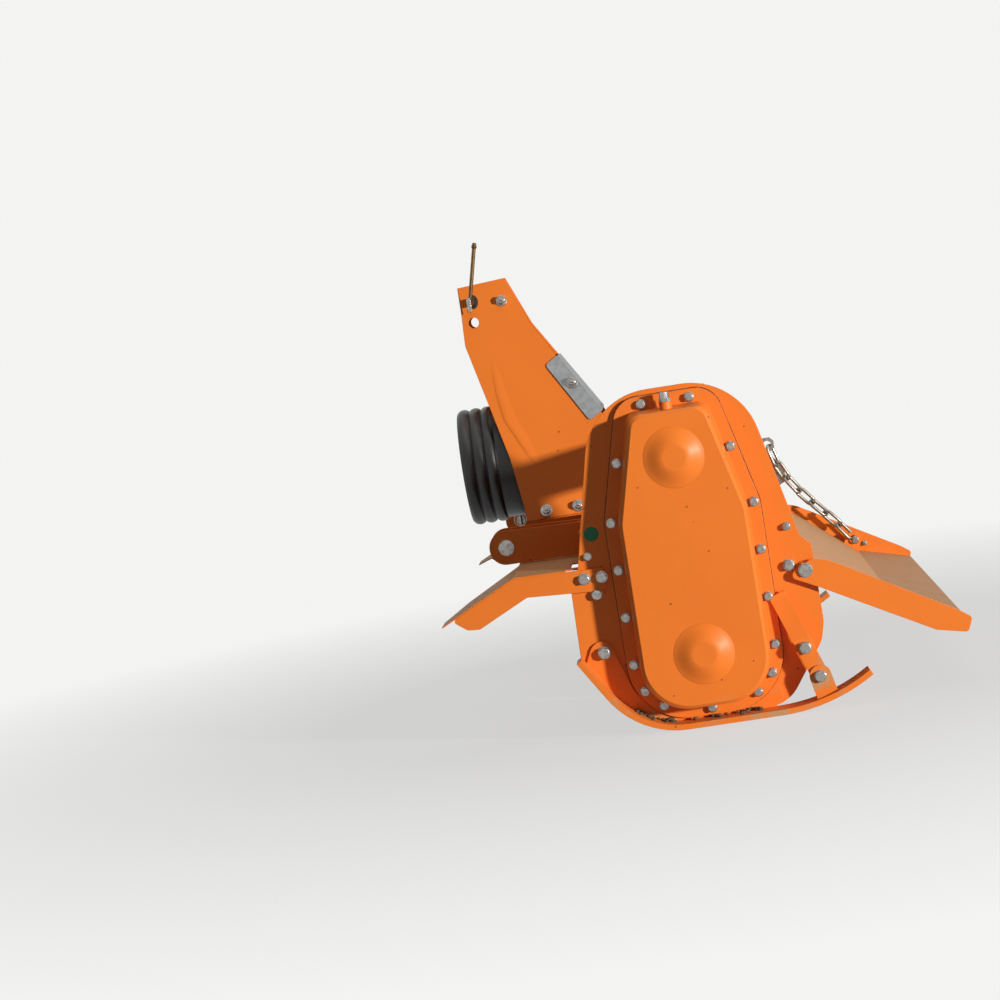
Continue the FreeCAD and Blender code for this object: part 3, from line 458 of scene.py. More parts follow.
def washer(outer_r, thickness):
    """A flat washer with softened rims."""
    soft = thickness * 0.3
    return lathe([(0, 0), (outer_r - soft, 0), (outer_r, soft), (outer_r, thickness - soft),
                  (outer_r - soft, thickness), (0, thickness)], 40)


def slab(outline, thickness):
    """A flat plate from a rounded outline that is star-shaped about its middle, standing on Z.
    Its top rim is drawn in towards the middle by SOFT_RIM."""
    ring = np.array(outline, float)
    inset = ring - ring / np.linalg.norm(ring, axis=1, keepdims=True) * SOFT_RIM
    rows = [(0 * ring, 0), (ring, 0), (ring, thickness - SOFT_RIM), (inset, thickness), (0 * ring, thickness)]
    return np.stack([np.concatenate([flat, np.full((len(ring), 1), z)], 1) for flat, z in rows])


def stud(radius, height, base):
    """The bolt's end that stands out of a nut: turned threads and a bevelled tip."""
    threads = int((height - 2) / THREAD_STEP)
    profile = [(0, base)] + [(radius - 0.45 * (k % 2), base + THREAD_STEP * k) for k in range(threads)]
    tip = [(radius - 0.3, base + height - 1.6), (radius - 1.6, base + height), (0, base + height)]
    return lathe(profile + tip, 24)


def bolt(across, washer_r=0.0):
    """A bolt head on its washer, as grids that stand on a surface."""
    under = WASHER_T if washer_r else 0.0
    grids = [hexagon(across, across * 0.62, under)]
    return grids + [washer(washer_r, under)] if washer_r else grids


def nut(across, washer_r):
    """A nut on its washer, with the bolt's end through it."""
    tall = across * 0.78
    return [washer(washer_r, WASHER_T), hexagon(across, tall, WASHER_T),
            stud(across * 0.33, across * 0.2, WASHER_T + tall)]


print("a bolt of 17 mm has", sum(g.shape[0] * g.shape[1] for g in bolt(17)), "points")

# %% [markdown]
# Bolts come in groups, and each group is one piece. Nobody lines up bolt heads, so each gets a
# turn of its own, drawn from a generator with a fixed seed, which gives the same turns each run.

# %% Groups of bolts
OUT = (0, 1, 0)
rng = np.random.default_rng(11)


def fixings(name, kinds_and_places, body="root"):
    """One piece from many bolts: each is (grids, place, normal) and gets a turn of its own."""
    grids = []
    for shapes, place, normal in kinds_and_places:
        where = stand(place, normal, rng.uniform(0, np.pi / 3))
        grids += [moved(shape, where) for shape in shapes]
    return piece(name, grids, ZINC_WARM_REFLECTION, body, 25)


print("seeded turns for the bolts")

# %% [markdown]
# The case is held by a ring of small bolts round its flange. They are listed from the top down,
# once for each side of the case, because its outline is the same fore and aft.

# %% Case bolts
CASE_BOLTS = [(51, 531), (120, 416), (151, 293), (151, 192), (151, 91), (150, -11), (135, -70), (100, -106)]
case_places = [at(side * x, FLANGE_FACE, z) for x, z in CASE_BOLTS for side in (1, -1)]
case_places.append(at(0, FLANGE_FACE, -125))
fixings("case_bolts", [(bolt(16, 10.5), place, OUT) for place in case_places])

# %% [markdown]
# A thin dark line along the flange's edge, where the case meets the side plate, is painted shade for the gap
# between them. Its path is the flange's outline: straight runs joined by arcs that touch them.

# %% Painted shade along the flange
def arc_outline(corners, steps=14):
    """An outline from corners (x, z, radius): each arc starts radius / tan(half the corner's
    angle) before its corner and follows a circle that touches both sides."""
    arcs = []
    for k, (x, z, radius) in enumerate(corners):
        corner = np.array([x, z])
        ways = [np.array(corners[j][:2]) - corner for j in (k - 1, (k + 1) % len(corners))]
        ways = [way / np.linalg.norm(way) for way in ways]
        half = math.acos(np.clip(ways[0] @ ways[1], -1, 1)) / 2
        middle = corner + (ways[0] + ways[1]) / np.linalg.norm(ways[0] + ways[1]) * radius / math.sin(half)
        first, last = (corner + way * radius / math.tan(half) - middle for way in ways)
        turn = math.atan2(first[0] * last[1] - first[1] * last[0], first @ last)
        t = np.linspace(0, turn, steps)[:, None]
        arcs.append(middle + (first * np.cos(t) + np.array([-first[1], first[0]]) * np.sin(t)))
    return np.concatenate(arcs)


FLANGE_CORNERS = [(103, 548, 55), (165, 295, 70), (165, -140, 125)]
FLANGE_CORNERS += [(-x, z, radius) for x, z, radius in FLANGE_CORNERS[::-1]]
FLANGE_HALF, FLANGE_MIDDLE_Z = 165, 200
LINE_HALF_WIDE, LINE_HALF_HIGH = 1.8, 0.9


def line_round(outline):
    """A flat tube along the outline: round its section, at an angle a, it lies LINE_HALF_WIDE *
    cos a out from the flange and LINE_HALF_HIGH * sin a off the side plate."""
    a = full_turn(8)
    x, z = outline[:, None, 0], outline[:, None, 1]
    ring = np.stack([x + LINE_HALF_WIDE * np.cos(a) * x / FLANGE_HALF,
                     PLATE_FACE + LINE_HALF_HIGH * np.sin(a) + 0 * x,
                     z + LINE_HALF_WIDE * np.cos(a) * np.sign(z - FLANGE_MIDDLE_Z)], -1)
    return np.concatenate([ring, ring[:1]]) * MM + AXIS


def flange_shade_material():
    """Nearly black painted shade, with orange patches where the paint shows through."""
    g = Graph("painted_flange_shade")
    bare = g.ramp(g.noise(60, 5, 0.7), 0.50, 0.66)
    colour = g.mix(bare, (0.018, 0.010, 0.006, 1), (0.42, 0.11, 0.02, 1))
    return g.finish(Base_Color=colour, Roughness=0.7, Normal=g.bump(g.noise(400, 4), 0.6, 0.0006))


# This dark line is painted shade for the gap where the case's flange meets the side plate.
piece("flange_shade_line", [line_round(arc_outline(FLANGE_CORNERS))], flange_shade_material())

# %% [markdown]
# Two soft round swellings are pressed into the cover, over the ends of the shafts behind it. The
# solids have them as blunt cones with flat sides. A thin shell lies over each: its height follows
# an S-shaped curve, so it leaves the cover and reaches its flat middle without an edge.

# %% Domes on the cover
DOME_FOOT_R, DOME_FLAT_R, DOME_RISE, DOME_SUNK = 64.0, 22.0, 15.0, 0.5
COVER_FACE = edge_of("drive_case", 1) - DOME_RISE


def dome_profile(count=28):
    """Radius and height: with t from 0 at the foot to 1 at the flat, the height is
    rise * (0.6 t + 1.8 t^2 - 1.4 t^3), which is level at t = 1 and stays over a straight cone.
    The profile then turns back underneath and is closed at the foot."""
    t = np.linspace(0, 1, count)
    height = DOME_RISE * (0.6 * t + 1.8 * t ** 2 - 1.4 * t ** 3)
    foot = [(DOME_FOOT_R, -DOME_SUNK)]
    outside = list(zip(DOME_FOOT_R + (DOME_FLAT_R - DOME_FOOT_R) * t, height))
    under = [(DOME_FLAT_R - 1, DOME_RISE - 0.4), (DOME_FLAT_R - 1, DOME_RISE - 3),
             (DOME_FOOT_R - 9, -DOME_SUNK)]
    return foot + outside + under + foot


domes = [moved(lathe(dome_profile(), 72), stand(at(0, COVER_FACE, z), OUT)) for z in (0, SHAFT_RISE)]
piece("cover_domes", domes, PAINT, "root", 40)

# %% [markdown]
# Larger bolts hold the guard's arms, the skids and their straps, on both sides of the machine,
# so each is given once with the height of the face that it stands on.

# %% Side bolts
ARM_FACE, SKID_FACE = PLATE_FACE + 8, PLATE_FACE + 6
STRAP_FACE, LUG_FACE = edge_of("skid_straps", 1), edge_of("skid_straps", 1) + 6
SIDE_BOLTS = [(188, 184, ARM_FACE, bolt(19, 13)), (225, 185, ARM_FACE, bolt(19, 13)),
              (204, 148, PLATE_FACE, bolt(19, 12)), (-204, 148, PLATE_FACE, bolt(19, 13)),
              (211, 230, PLATE_FACE, bolt(13, 9)), (-211, 230, PLATE_FACE, nut(13, 9)),
              (208, 23, SKID_FACE, bolt(22, 14)), (-210.5, -24, STRAP_FACE, bolt(22, 13)),
              (-233, -87, LUG_FACE, [washer(13, WASHER_T), hexagon(22, 9, WASHER_T)])]
fixings("side_bolts", [(shapes, at(x, side * face, z), (0, side, 0))
                       for x, z, face, shapes in SIDE_BOLTS for side in (1, -1)])

# %% [markdown]
# The flap's end plates turn on two pivot bolts, which are solids. Only their washers are added,
# and they move with the flap.

# %% Pivot washers
FLAP_FACE = edge_of("flap_ends", 1)
pivot_washers = [([washer(15.5, 2.2)], at(-236, side * FLAP_FACE, 134), (0, side, 0)) for side in (1, -1)]
fixings("pivot_washers", pivot_washers, "flap")
print("flap's end plate at", round(FLAP_FACE, 1), "mm")

# %% [markdown]
# A plain round green label sticks on the side plate. It is thin vinyl: matt, even in colour, and
# slightly raised.

# %% Green label
LABEL_R, LABEL_T, LABEL_AT = 15.5, 0.9, at(196.5, PLATE_FACE - 0.3, 276)


def vinyl():
    """Green, a little paler where it is rubbed."""
    g = Graph("green_vinyl")
    worn = g.ramp(g.noise(120, 5, 0.6), 0.45, 0.75, 0.0, 0.25)
    colour = g.mix(worn, (0.006, 0.135, 0.058, 1), (0.05, 0.16, 0.08, 1))
    return g.finish(Base_Color=colour, Roughness=0.5, Specular_IOR_Level=0.3,
                    Normal=g.bump(g.noise(300, 2), 0.2, 0.0002))


label = slab(ellipse(LABEL_R, LABEL_R), LABEL_T)
piece("green_label", [moved(label, stand(LABEL_AT, OUT))], vinyl())

# %% [markdown]
# The two mast plates lean towards each other. Their bolts stand on the leaning faces, so the
# place and the normal both come from the lean. One bolt stands on the clamp's sheet.

# %% Mast bolts
MAST_FOOT_HALF, MAST_HEAD_HALF, MAST_FOOT_Z = 200.0, 38.0, 285.0
TOP_PIN_X, TOP_PIN_Z, CLAMP_T = 411.0, 798.0, 3.5
LEAN = math.atan2(MAST_FOOT_HALF - MAST_HEAD_HALF, TOP_PIN_Z - MAST_FOOT_Z)


def on_mast(x, z, side=1, lift=0.0):
    """Places on a mast plate's outer face at heights z, lifted off it, and the face's normal.
    The face is MAST_FOOT_HALF from the middle at the foot, and nearer by tan(lean) a millimetre."""
    half = MAST_FOOT_HALF - (z - MAST_FOOT_Z) * math.tan(LEAN)
    normal = np.array([0, side * math.cos(LEAN), math.sin(LEAN)])
    flat = np.stack(np.broadcast_arrays(x, side * half, z), -1)
    return AXIS + flat * MM + normal * np.asarray(lift)[..., None] * MM, normal


MAST_BOLTS = [(305, 303, nut(17, 14), 0), (231, 303, nut(17, 14), 0), (340, 789, nut(17, 13), 0),
              (205, 578, nut(17, 13.5), CLAMP_T)]
fixings("mast_bolts", [(shapes, *on_mast(x, z, side, lift))
                       for side in (1, -1) for x, z, shapes, lift in MAST_BOLTS])

# %% [markdown]
# Each mast plate has a pressed crease that stiffens it, a soft bend that starts near the head and
# runs down to the beam. It is a low ridge, steep towards the front and shallow to the rear, so
# only its front side darkens.

# %% Creases
SUNK, SHELL_T = 0.12, 0.4


def ridge(path, width, rise, side):
    """A ridge along places (x, z) on a mast plate: across it, with t from -1 to 1, the height is
    rise * (1 - t)^4 * (1 + t) / 2.62. The height falls to nothing at its ends, the width to half."""
    xs, zs = np.array(path, float).T
    run = np.linspace(0, 1, 48)
    x = np.interp(run, np.linspace(0, 1, len(xs)), xs)
    z = np.interp(run, np.linspace(0, 1, len(zs)), zs)
    for line in (x, z):
        line[2:-2] = np.convolve(line, np.ones(5) / 5, "valid")
    fade = np.clip(np.sin(np.pi * run), 0, 1)
    wide = width / 4 * (1 + fade ** 0.5)
    t = np.linspace(-1, 1, 15)
    height = rise * (1 - t) ** 4 * (1 + t) / 2.62
    across = np.concatenate([t, t[::-1]])
    lift = np.concatenate([np.outer(fade, height) - SUNK, np.full((len(run), len(t)), -SHELL_T)], 1)
    return on_mast(x[:, None] - across * wide[:, None], z[:, None], side, lift)[0]


CREASE = [(373, 668), (364, 580), (351, 515), (332, 478), (317, 443), (300, 400)]
piece("mast_creases", [ridge(CREASE, 46, 1.3, side) for side in (1, -1)], PAINT, "root", 60)

# %% [markdown]
# The top link pin sits in a larger hole. A thin, nearly black slab on the plate round the pin is painted shade for
# the hole's dark inside; the slab is an ellipse, because the plate leans. The pin's handle ends in a small knob,
# and a flat clip beside the plate keeps the pin from turning.

# %% The top link pin's hole, knob and clip
PIN_END = edge_of("top_link_pin", 1)
HANDLE_LEAN, HANDLE_UP = math.radians(13.4), 128
CLIP = [(-4, -17), (4, -17), (5, -8), (5, 12), (3, 16), (-3, 16), (-5, 12), (-5, -8)]


def hole_shade_material():
    """Nearly black painted shade for the hole's inside, with brown patches."""
    g = Graph("painted_hole_shade")
    colour = g.mix(g.ramp(g.noise(220, 5), 0.35, 0.7), (0.012, 0.009, 0.007, 1), (0.06, 0.035, 0.02, 1))
    return g.finish(Base_Color=colour, Roughness=0.38, Normal=g.bump(g.noise(500, 4), 0.5, 0.0005))


# A thin nearly black slab round the pin is painted shade for the hole's dark inside.
hole_shade_slab = slab(ellipse(12, 17), 0.9)
hole_shade_slabs = [moved(hole_shade_slab, stand(*on_mast(406, 797, side, -0.2))) for side in (1, -1)]
piece("pin_hole_shade", hole_shade_slabs, hole_shade_material())
knob = lathe([(0, -6), (4, -5.2), (6.2, -2), (6.2, 2), (4, 5.2), (0, 6)], 24)
knob_up = np.array([-math.sin(HANDLE_LEAN), 0, math.cos(HANDLE_LEAN)])
knob_at = at(TOP_PIN_X, PIN_END - 6, TOP_PIN_Z) + knob_up * HANDLE_UP * MM
piece("pin_handle_knob", [moved(knob, stand(knob_at, knob_up))], PASSIVATED, "root")
clip_turn = np.stack([(1, 0, 0), (0, 0, 1), (0, 1, 0)], -1).astype(float)
clip = moved(slab(CLIP, 2.6), (clip_turn, at(413.5, PIN_END - 0.4, 792)))
piece("pin_clip", [clip], ZINC_WARM_REFLECTION, "root")

# %% [markdown]
# The flap hangs on a chain of round wire. Each link is a stadium path, two half circles and two straights, that a
# round section follows; every second link is turned by a quarter. The chain sags a little under its own weight.

# %% Chain
CHAIN_Y, CHAIN_LINKS, CHAIN_ROLL, CHAIN_SAG = -622, 7, math.radians(38), 20.0
CHAIN_TOP, CHAIN_LOW = at(-243, CHAIN_Y, 310), at(-416, CHAIN_Y, 50)
WIRE_R, LINK_INNER_WID = 4.2, 14.3


def swept_ring(path, section_r, sides=20):
    """A closed tube: at each point of a flat closed path (x, y), a circle in the plane of the
    path's outward normal and Z."""
    ahead = np.roll(path, -1, 0) - np.roll(path, 1, 0)
    ahead /= np.linalg.norm(ahead, axis=1, keepdims=True)
    outward = np.stack([ahead[:, 1], -ahead[:, 0]], -1)
    a = full_turn(sides)
    flat = path[:, None, :] + outward[:, None, :] * (section_r * np.cos(a))[None, :, None]
    height = np.broadcast_to(section_r * np.sin(a), flat.shape[:2])
    rings = np.concatenate([flat, height[..., None]], -1)
    return np.concatenate([rings, rings[:1]])


def link_path(inner_len, inner_wid, wire_r, steps=14):
    """The wire's middle line: half circles round both ends of a straight."""
    bow_r = inner_wid / 2 + wire_r
    straight = inner_len / 2 + wire_r - bow_r
    a = np.linspace(-np.pi / 2, np.pi / 2, steps)
    front = np.stack([straight + bow_r * np.cos(a), bow_r * np.sin(a)], -1)
    return np.concatenate([front, -front])


def hang(run, share, sag):
    """A place on the chain, at a share t of its run: t * run, and sag * 6.75 t (1 - t)^2 towards
    the side that weight pulls it to, which is greatest a third of the way down."""
    drop = np.array([-run[2], 0, run[0]]) / np.linalg.norm(run)
    return run * share + drop * sag * 6.75 * share * (1 - share) ** 2


def chain_links(top, run, count, inner_wid, wire_r, roll, sag):
    """Links between places on the hanging chain, from top, as grids in metres, rolled about it."""
    grids = []
    for k in range(count):
        start, stop = hang(run, k / count, sag), hang(run, (k + 1) / count, sag)
        along = Vector(stop - start).normalized()
        across = Matrix.Rotation(roll, 3, along) @ Vector((0, 1, 0))
        up_side = along.cross(across)
        link = swept_ring(link_path(np.linalg.norm(stop - start), inner_wid, wire_r), wire_r)
        edge = up_side if k % 2 else across
        turned = np.array([along, edge, along.cross(edge)]).T
        grids.append(link @ turned.T * MM + top + (start + stop) / 2 * MM)
    return grids


chain_run = (CHAIN_LOW - CHAIN_TOP) / MM
links = chain_links(CHAIN_TOP, chain_run, CHAIN_LINKS, LINK_INNER_WID, WIRE_R, CHAIN_ROLL, CHAIN_SAG)
chain = piece("chain", links, CHAIN_ZINC, None)
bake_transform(chain)
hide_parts("flap_chain")
print("link pitch when taut", round(np.linalg.norm(chain_run) / CHAIN_LINKS, 1), "mm")

# %% [markdown]
# A zinc plated catch is bolted to the inner face of the far side plate. A link hooks into it when
# the flap is carried higher. It is a flat tab with rounded corners and two small bolts. A larger
# bolt holds the chain's last link on the flap.

# %% Chain catch
INNER_FACE = -(PLATE_FACE - PLATE_T)
CATCH_T, CATCH_CORNERS = 4.0, [(-52, 18), (-46, -20), (-12, -30), (36, -22), (40, 8), (6, 28)]


def rounded(corners, radius, steps=5):
    """An outline whose corners are arcs: with t from 0 to 1 between the places a radius before
    and after a corner, (1 - t)^2 * before + 2 t (1 - t) * corner + t^2 * after."""
    corners = np.array(corners, float)

    def towards(others):
        ways = others - corners
        return corners + ways / np.linalg.norm(ways, axis=1, keepdims=True) * radius

    start, stop = towards(np.roll(corners, 1, 0))[:, None], towards(np.roll(corners, -1, 0))[:, None]
    t = np.linspace(0, 1, steps)[:, None]
    return ((1 - t) ** 2 * start + 2 * t * (1 - t) * corners[:, None] + t * t * stop).reshape(-1, 2)


down_chain = np.array([CHAIN_LOW[0] - CHAIN_TOP[0], 0, CHAIN_LOW[2] - CHAIN_TOP[2]])
down_chain /= np.linalg.norm(down_chain)
catch_turn = np.stack([down_chain, np.cross([0, 1, 0], down_chain), [0, 1, 0]], -1)
catch = moved(slab(rounded(CATCH_CORNERS, 7), CATCH_T), (catch_turn, at(-246, INNER_FACE, 246)))
piece("chain_catch", [catch], ZINC_WARM_REFLECTION, "root")
fixings("catch_bolts", [(bolt(13), at(x, INNER_FACE + CATCH_T, z), OUT)
                        for x, z in ((-272, 226), (-228, 262))])
fixings("chain_bolt", [(bolt(15, 10), at(-424, CHAIN_Y + WIRE_R - 0.2, 40), OUT)], "flap")

# %% [markdown]
# The guard over the input shaft is a blown sleeve with three hoops near its mouth that keep it
# round. Its wall is one closed profile, outside and inside, turned round the input's axis.

# %% Input guard
GUARD_LOW, GUARD_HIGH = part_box("input_guard")
GUARD_R = (GUARD_HIGH[2] - GUARD_LOW[2]) / 2 / MM
GUARD_BACK, GUARD_MOUTH = edge_of("input_guard", 0, False), edge_of("input_guard", 0)
HOOPS, HOOP_RISE, HOOP_PITCH, GUARD_WALL, NECK_LEN, NECK_R = 3, 7.0, 27.0, 4.0, 96.0, 62.3


def guard_profile():
    """Radius and x of the wall. Outside, the hoops rise by HOOP_RISE * |sin(pi x / pitch)|^0.6,
    then comes the neck. The inside wall runs back, and the profile ends where it began."""
    body_r = GUARD_R - HOOP_RISE
    x = np.linspace(0, HOOPS * HOOP_PITCH, 40)
    hoops = body_r + HOOP_RISE * np.abs(np.sin(np.pi * x / HOOP_PITCH)) ** 0.6
    lip = [(body_r - 1, GUARD_MOUTH)]
    outside = list(zip(hoops, GUARD_MOUTH - 1.5 - x))
    neck_x = GUARD_BACK + NECK_LEN
    rear = [(body_r, neck_x + 8), (body_r - 6, neck_x), (NECK_R + GUARD_WALL + 5, neck_x),
            (NECK_R + GUARD_WALL, neck_x - 6), (NECK_R + GUARD_WALL, GUARD_BACK), (NECK_R, GUARD_BACK)]
    inside = [(NECK_R, neck_x + GUARD_WALL), (body_r - 9, neck_x + GUARD_WALL),
              (body_r - GUARD_WALL, neck_x + 12), (body_r - GUARD_WALL, GUARD_MOUTH - 3),
              (body_r - 3, GUARD_MOUTH)]
    return lip + outside + rear + inside + lip


def along_x(profile, z, sides=96):
    """A profile of (radius, x) turned round an axis that runs fore and aft at height z."""
    turned = lathe(profile, sides)
    return np.stack([turned[..., 2], turned[..., 0], turned[..., 1]], -1) * MM + at(0, 0, z)


guard = piece("ribbed_guard", [along_x(guard_profile(), SHAFT_RISE)], BLACK_PLASTIC, "root")
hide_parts("input_guard")

# %% [markdown]
# Welds are rippled beads. A bead is a round section carried along a path, whose radius swells
# and shrinks a little with the length, as the torch moves on, and closes at both ends.

# %% Weld beads
def bead(path, radius=3.0, ripple=0.14, pitch=3.4, sides=10):
    """A tube along a path in millimetres: its radius is radius * (1 + ripple * sin(2 pi s /
    pitch)), and falls to nothing at both ends."""
    path = np.array(path, float)
    steps = np.linalg.norm(np.diff(path, axis=0), axis=1)
    s = np.concatenate([[0], np.cumsum(steps)])
    fine = np.arange(0, s[-1], pitch / 4)
    line = np.stack([np.interp(fine, s, path[:, k]) for k in range(3)], -1)
    ahead = np.gradient(line, axis=0)
    ahead /= np.linalg.norm(ahead, axis=1, keepdims=True)
    helper = np.where(np.abs(ahead[:, 1:2]) < 0.9, [[0.0, 1.0, 0.0]], [[1.0, 0.0, 0.0]])
    one = np.cross(ahead, helper)
    one /= np.linalg.norm(one, axis=1, keepdims=True)
    two = np.cross(ahead, one)
    end = np.clip(np.minimum(fine, fine[-1] - fine) / 3.0, 0, 1) ** 0.5
    r = radius * (1 + ripple * np.sin(2 * np.pi * fine / pitch)) * end
    a = full_turn(sides)
    ring = one[:, None] * np.cos(a)[None, :, None] + two[:, None] * np.sin(a)[None, :, None]
    return (line[:, None] + ring * r[:, None, None]) * MM + AXIS


def circle(x, z, radius, y, count=60):
    """Points round a circle in a plane across the machine."""
    a = np.linspace(0, 2 * np.pi, count)
    return np.stack([x + radius * np.cos(a), np.full(count, y), z + radius * np.sin(a)], -1)


DISC_YS, DISC_HALF_T, TUBE_R = np.linspace(-510.0, 510.0, 6), 5.0, 38.0
LUG_BEAD_X, LUG_BEAD_YS, FOOT_BEAD_XS = 226, (297.5, 307.5, 375.5, 385.5), (135, 325)
frame_beads = []
for side in (1, -1):
    for y in LUG_BEAD_YS:
        frame_beads.append(bead([(LUG_BEAD_X, side * y, 218), (LUG_BEAD_X, side * y, 282)], 3.0))
    frame_beads.append(bead(circle(-236, 134, 18, side * (PLATE_FACE + 0.5)), 2.2))
    for x in FOOT_BEAD_XS:
        frame_beads.append(bead([(x, side * 192, 283), (x, side * 186, 300)], 2.4))
rotor_beads = [bead(circle(0, 0, TUBE_R + 1, y + face), 3.2)
               for y in DISC_YS for face in (-DISC_HALF_T - 1, DISC_HALF_T + 1)]
piece("frame_welds", frame_beads, PAINT, "root", 60)
piece("rotor_welds", rotor_beads, PAINT_LOW, "rotor", 60)

# %% [markdown]
# Each hoe is held to its disc by two bolts, which turn with the rotor. Hoes stand on alternate
# sides of a disc, apart from those of the outer discs, whose legs all turn inwards where they
# would meet a side plate.

# %% Hoe bolts
HOES_A_DISC, HOE_LEG, HOE_ROOM, HOE_BOLT_REACHES = 4, 78, 616, (62, 80)
hoe_bolts = []
for i, y in enumerate(DISC_YS):
    for k in range(HOES_A_DISC):
        side = 1 if (k + i) % 2 == 0 else -1
        if abs(y + side * HOE_LEG) > HOE_ROOM:
            side = -side
        turn = math.radians(45 + 90 * k)
        for reach in HOE_BOLT_REACHES:
            x, z = -reach * math.sin(turn), -reach * math.cos(turn)
            hoe_bolts.append((bolt(15), at(x, y - side * DISC_HALF_T, z), (0, -side, 0)))
fixings("hoe_bolts", hoe_bolts, "rotor")

# %% [markdown]
# The tubes beside the gearbox end in square flanges, and the rotor's right bearing has one too.
# Each has four bolts near its corners. The gearbox has four small ones on its front and its rear.

# %% Flange bolts
TUBE_BOLT, TUBE_FACES, HUB_BOLT, HUB_FACE = 46.0, (114.0, 626.0), 56.0, PLATE_FACE + 12.0
BOX_END, BOX_BOLT_Y, BOX_BOLT_Z = 95, 80, 86
flange_bolts = []
for fore, rise in ((1, 1), (1, -1), (-1, 1), (-1, -1)):
    x, z = fore * TUBE_BOLT, SHAFT_RISE + rise * TUBE_BOLT
    for side in (1, -1):
        for face, way in zip(TUBE_FACES, (side, -side)):
            flange_bolts.append((bolt(17, 11), at(x, side * face, z), (0, way, 0)))
    flange_bolts.append((bolt(17, 11), at(fore * HUB_BOLT, -HUB_FACE, rise * HUB_BOLT), (0, -1, 0)))
    for way in (1, -1):
        place = at(way * BOX_END, fore * BOX_BOLT_Y, SHAFT_RISE + rise * BOX_BOLT_Z)
        flange_bolts.append((bolt(13, 8), place, (way, 0, 0)))
fixings("flange_bolts", flange_bolts)

# %% [markdown]
# Each end plate of the flap is bolted to its sheet near the lower edge, with the nut inside.

# %% Flap bolts
FLAP_INNER = FLAP_FACE - 6.0
fixings("flap_bolts", [(nut(10, 7), at(-449, side * FLAP_INNER, 24), (0, -side, 0)) for side in (1, -1)],
        "flap")

# %% [markdown]
# The hitch pins are kept in their holes by linchpins: a short pin through the end, and a spring
# ring that folds down over it.

# %% Linchpins
RING_R, RING_WIRE_R, RING_ASIDE, RING_DROP = 15, 1.5, 4.5, 2
LOW_PIN_X, LOW_PIN_Z, LINCHPIN_INWARD = 396, 250, 103


def linchpin(pin_end, way):
    """A pin that stands across pin_end, and a ring of wire that hangs beside it."""
    pin = lathe([(0, -17), (3, -17), (3.8, -16), (3.8, 12), (5, 13), (5, 17), (0, 17)], 20)
    ring = swept_ring(ellipse(RING_R, RING_R, 40), RING_WIRE_R, 10)
    ring_at = pin_end + np.array([0, way * RING_ASIDE, RING_DROP]) * MM
    return [moved(pin, stand(pin_end, (0, 0, 1))), moved(ring, stand(ring_at, OUT))]


linchpins = []
for side in (1, -1):
    inward = side * (edge_of("lower_pins", 1) - LINCHPIN_INWARD)
    linchpins += linchpin(at(LOW_PIN_X, inward, LOW_PIN_Z), -side)
linchpins += linchpin(at(TOP_PIN_X, edge_of("top_link_pin", 1, False) + 5, TOP_PIN_Z), -1)
piece("linchpins", linchpins, CHAIN_ZINC, "root")

# %% [markdown]
# Dry soil has stayed in the corner between each skid's web and its sole. It is heaped from many
# small lumps: each is a ball whose radius changes with the angle by a few random waves.

# %% Soil on the skids
SOLE_TOP, ARC_FRONT, ARC_R = -144.0, 55.0, 178.0
HEAPS = ((80, 160, 34), (-105, -50, 26), (-30, 60, 8))
CORNER_FACE, HEAP_WIDE = PLATE_FACE + 8, 34


def soil_material():
    """Dull brown, paler where it is dry."""
    g = Graph("dry_soil")
    colour = g.mix(g.ramp(g.noise(180, 6, 0.7), 0.3, 0.7), (0.06, 0.04, 0.026, 1), (0.21, 0.15, 0.095, 1))
    return g.finish(Base_Color=colour, Roughness=0.95, Specular_IOR_Level=0.2,
                    Normal=g.bump(g.noise(900, 5, 0.7), 0.8, 0.001))


def lump(place, size):
    """A ball of unequal axes: its radius is size * (1 + the sum of three waves of both angles)."""
    up_angle = np.linspace(0, np.pi, 9)[:, None]
    round_angle = full_turn(12)[None, :]
    r = np.full((9, 12), size)
    for wave in (1, 2, 3):
        tall, turn = rng.uniform(0, 2 * np.pi, 2)
        tilt = np.cos(wave * up_angle + tall)
        r = r + size * 0.16 * np.sin(wave * round_angle + turn) * np.sin(up_angle) * tilt
    scale = rng.uniform(0.6, 1.3, 3)
    ball = np.stack([r * np.sin(up_angle) * np.cos(round_angle) * scale[0],
                     r * np.sin(up_angle) * np.sin(round_angle) * scale[1],
                     r * np.cos(up_angle) * 0.7], -1)
    ball[0], ball[-1] = ball[0].mean(0), ball[-1].mean(0)
    return ball * MM + place


def sole_top(x):
    """The height of a skid's upper face: level, then an arc that climbs forward."""
    past = max(x - ARC_FRONT, 0.0)
    return SOLE_TOP + ARC_R - math.sqrt(ARC_R ** 2 - past ** 2)


lumps = []
for side in (1, -1):
    for rear, front, count in HEAPS:
        for _ in range(count):
            x, size = rng.uniform(rear, front), rng.uniform(2.0, 6.5)
            y = CORNER_FACE + rng.beta(1.2, 2.4) * HEAP_WIDE
            lumps.append(lump(at(x, side * y, sole_top(x) + size * 0.4), size))
piece("skid_soil", lumps, soil_material(), sharp=80)

# %% [markdown]
# The floor is a pale disc that fades into the pale background. It is a matt surface near the
# machine, where it keeps the shadow, and turns into plain light further out. That light is seen
# by the camera and in mirror reflections alone, so none of it falls on the machine.

# %% Floor
PALE, FLOOR_COLOUR = (0.90, 0.90, 0.89, 1), (0.52, 0.52, 0.51, 1)
FLOOR_R, FLOOR_NEAR, FLOOR_FAR, FLOOR_GLOW = 9.0, 0.9, 2.6, 0.68


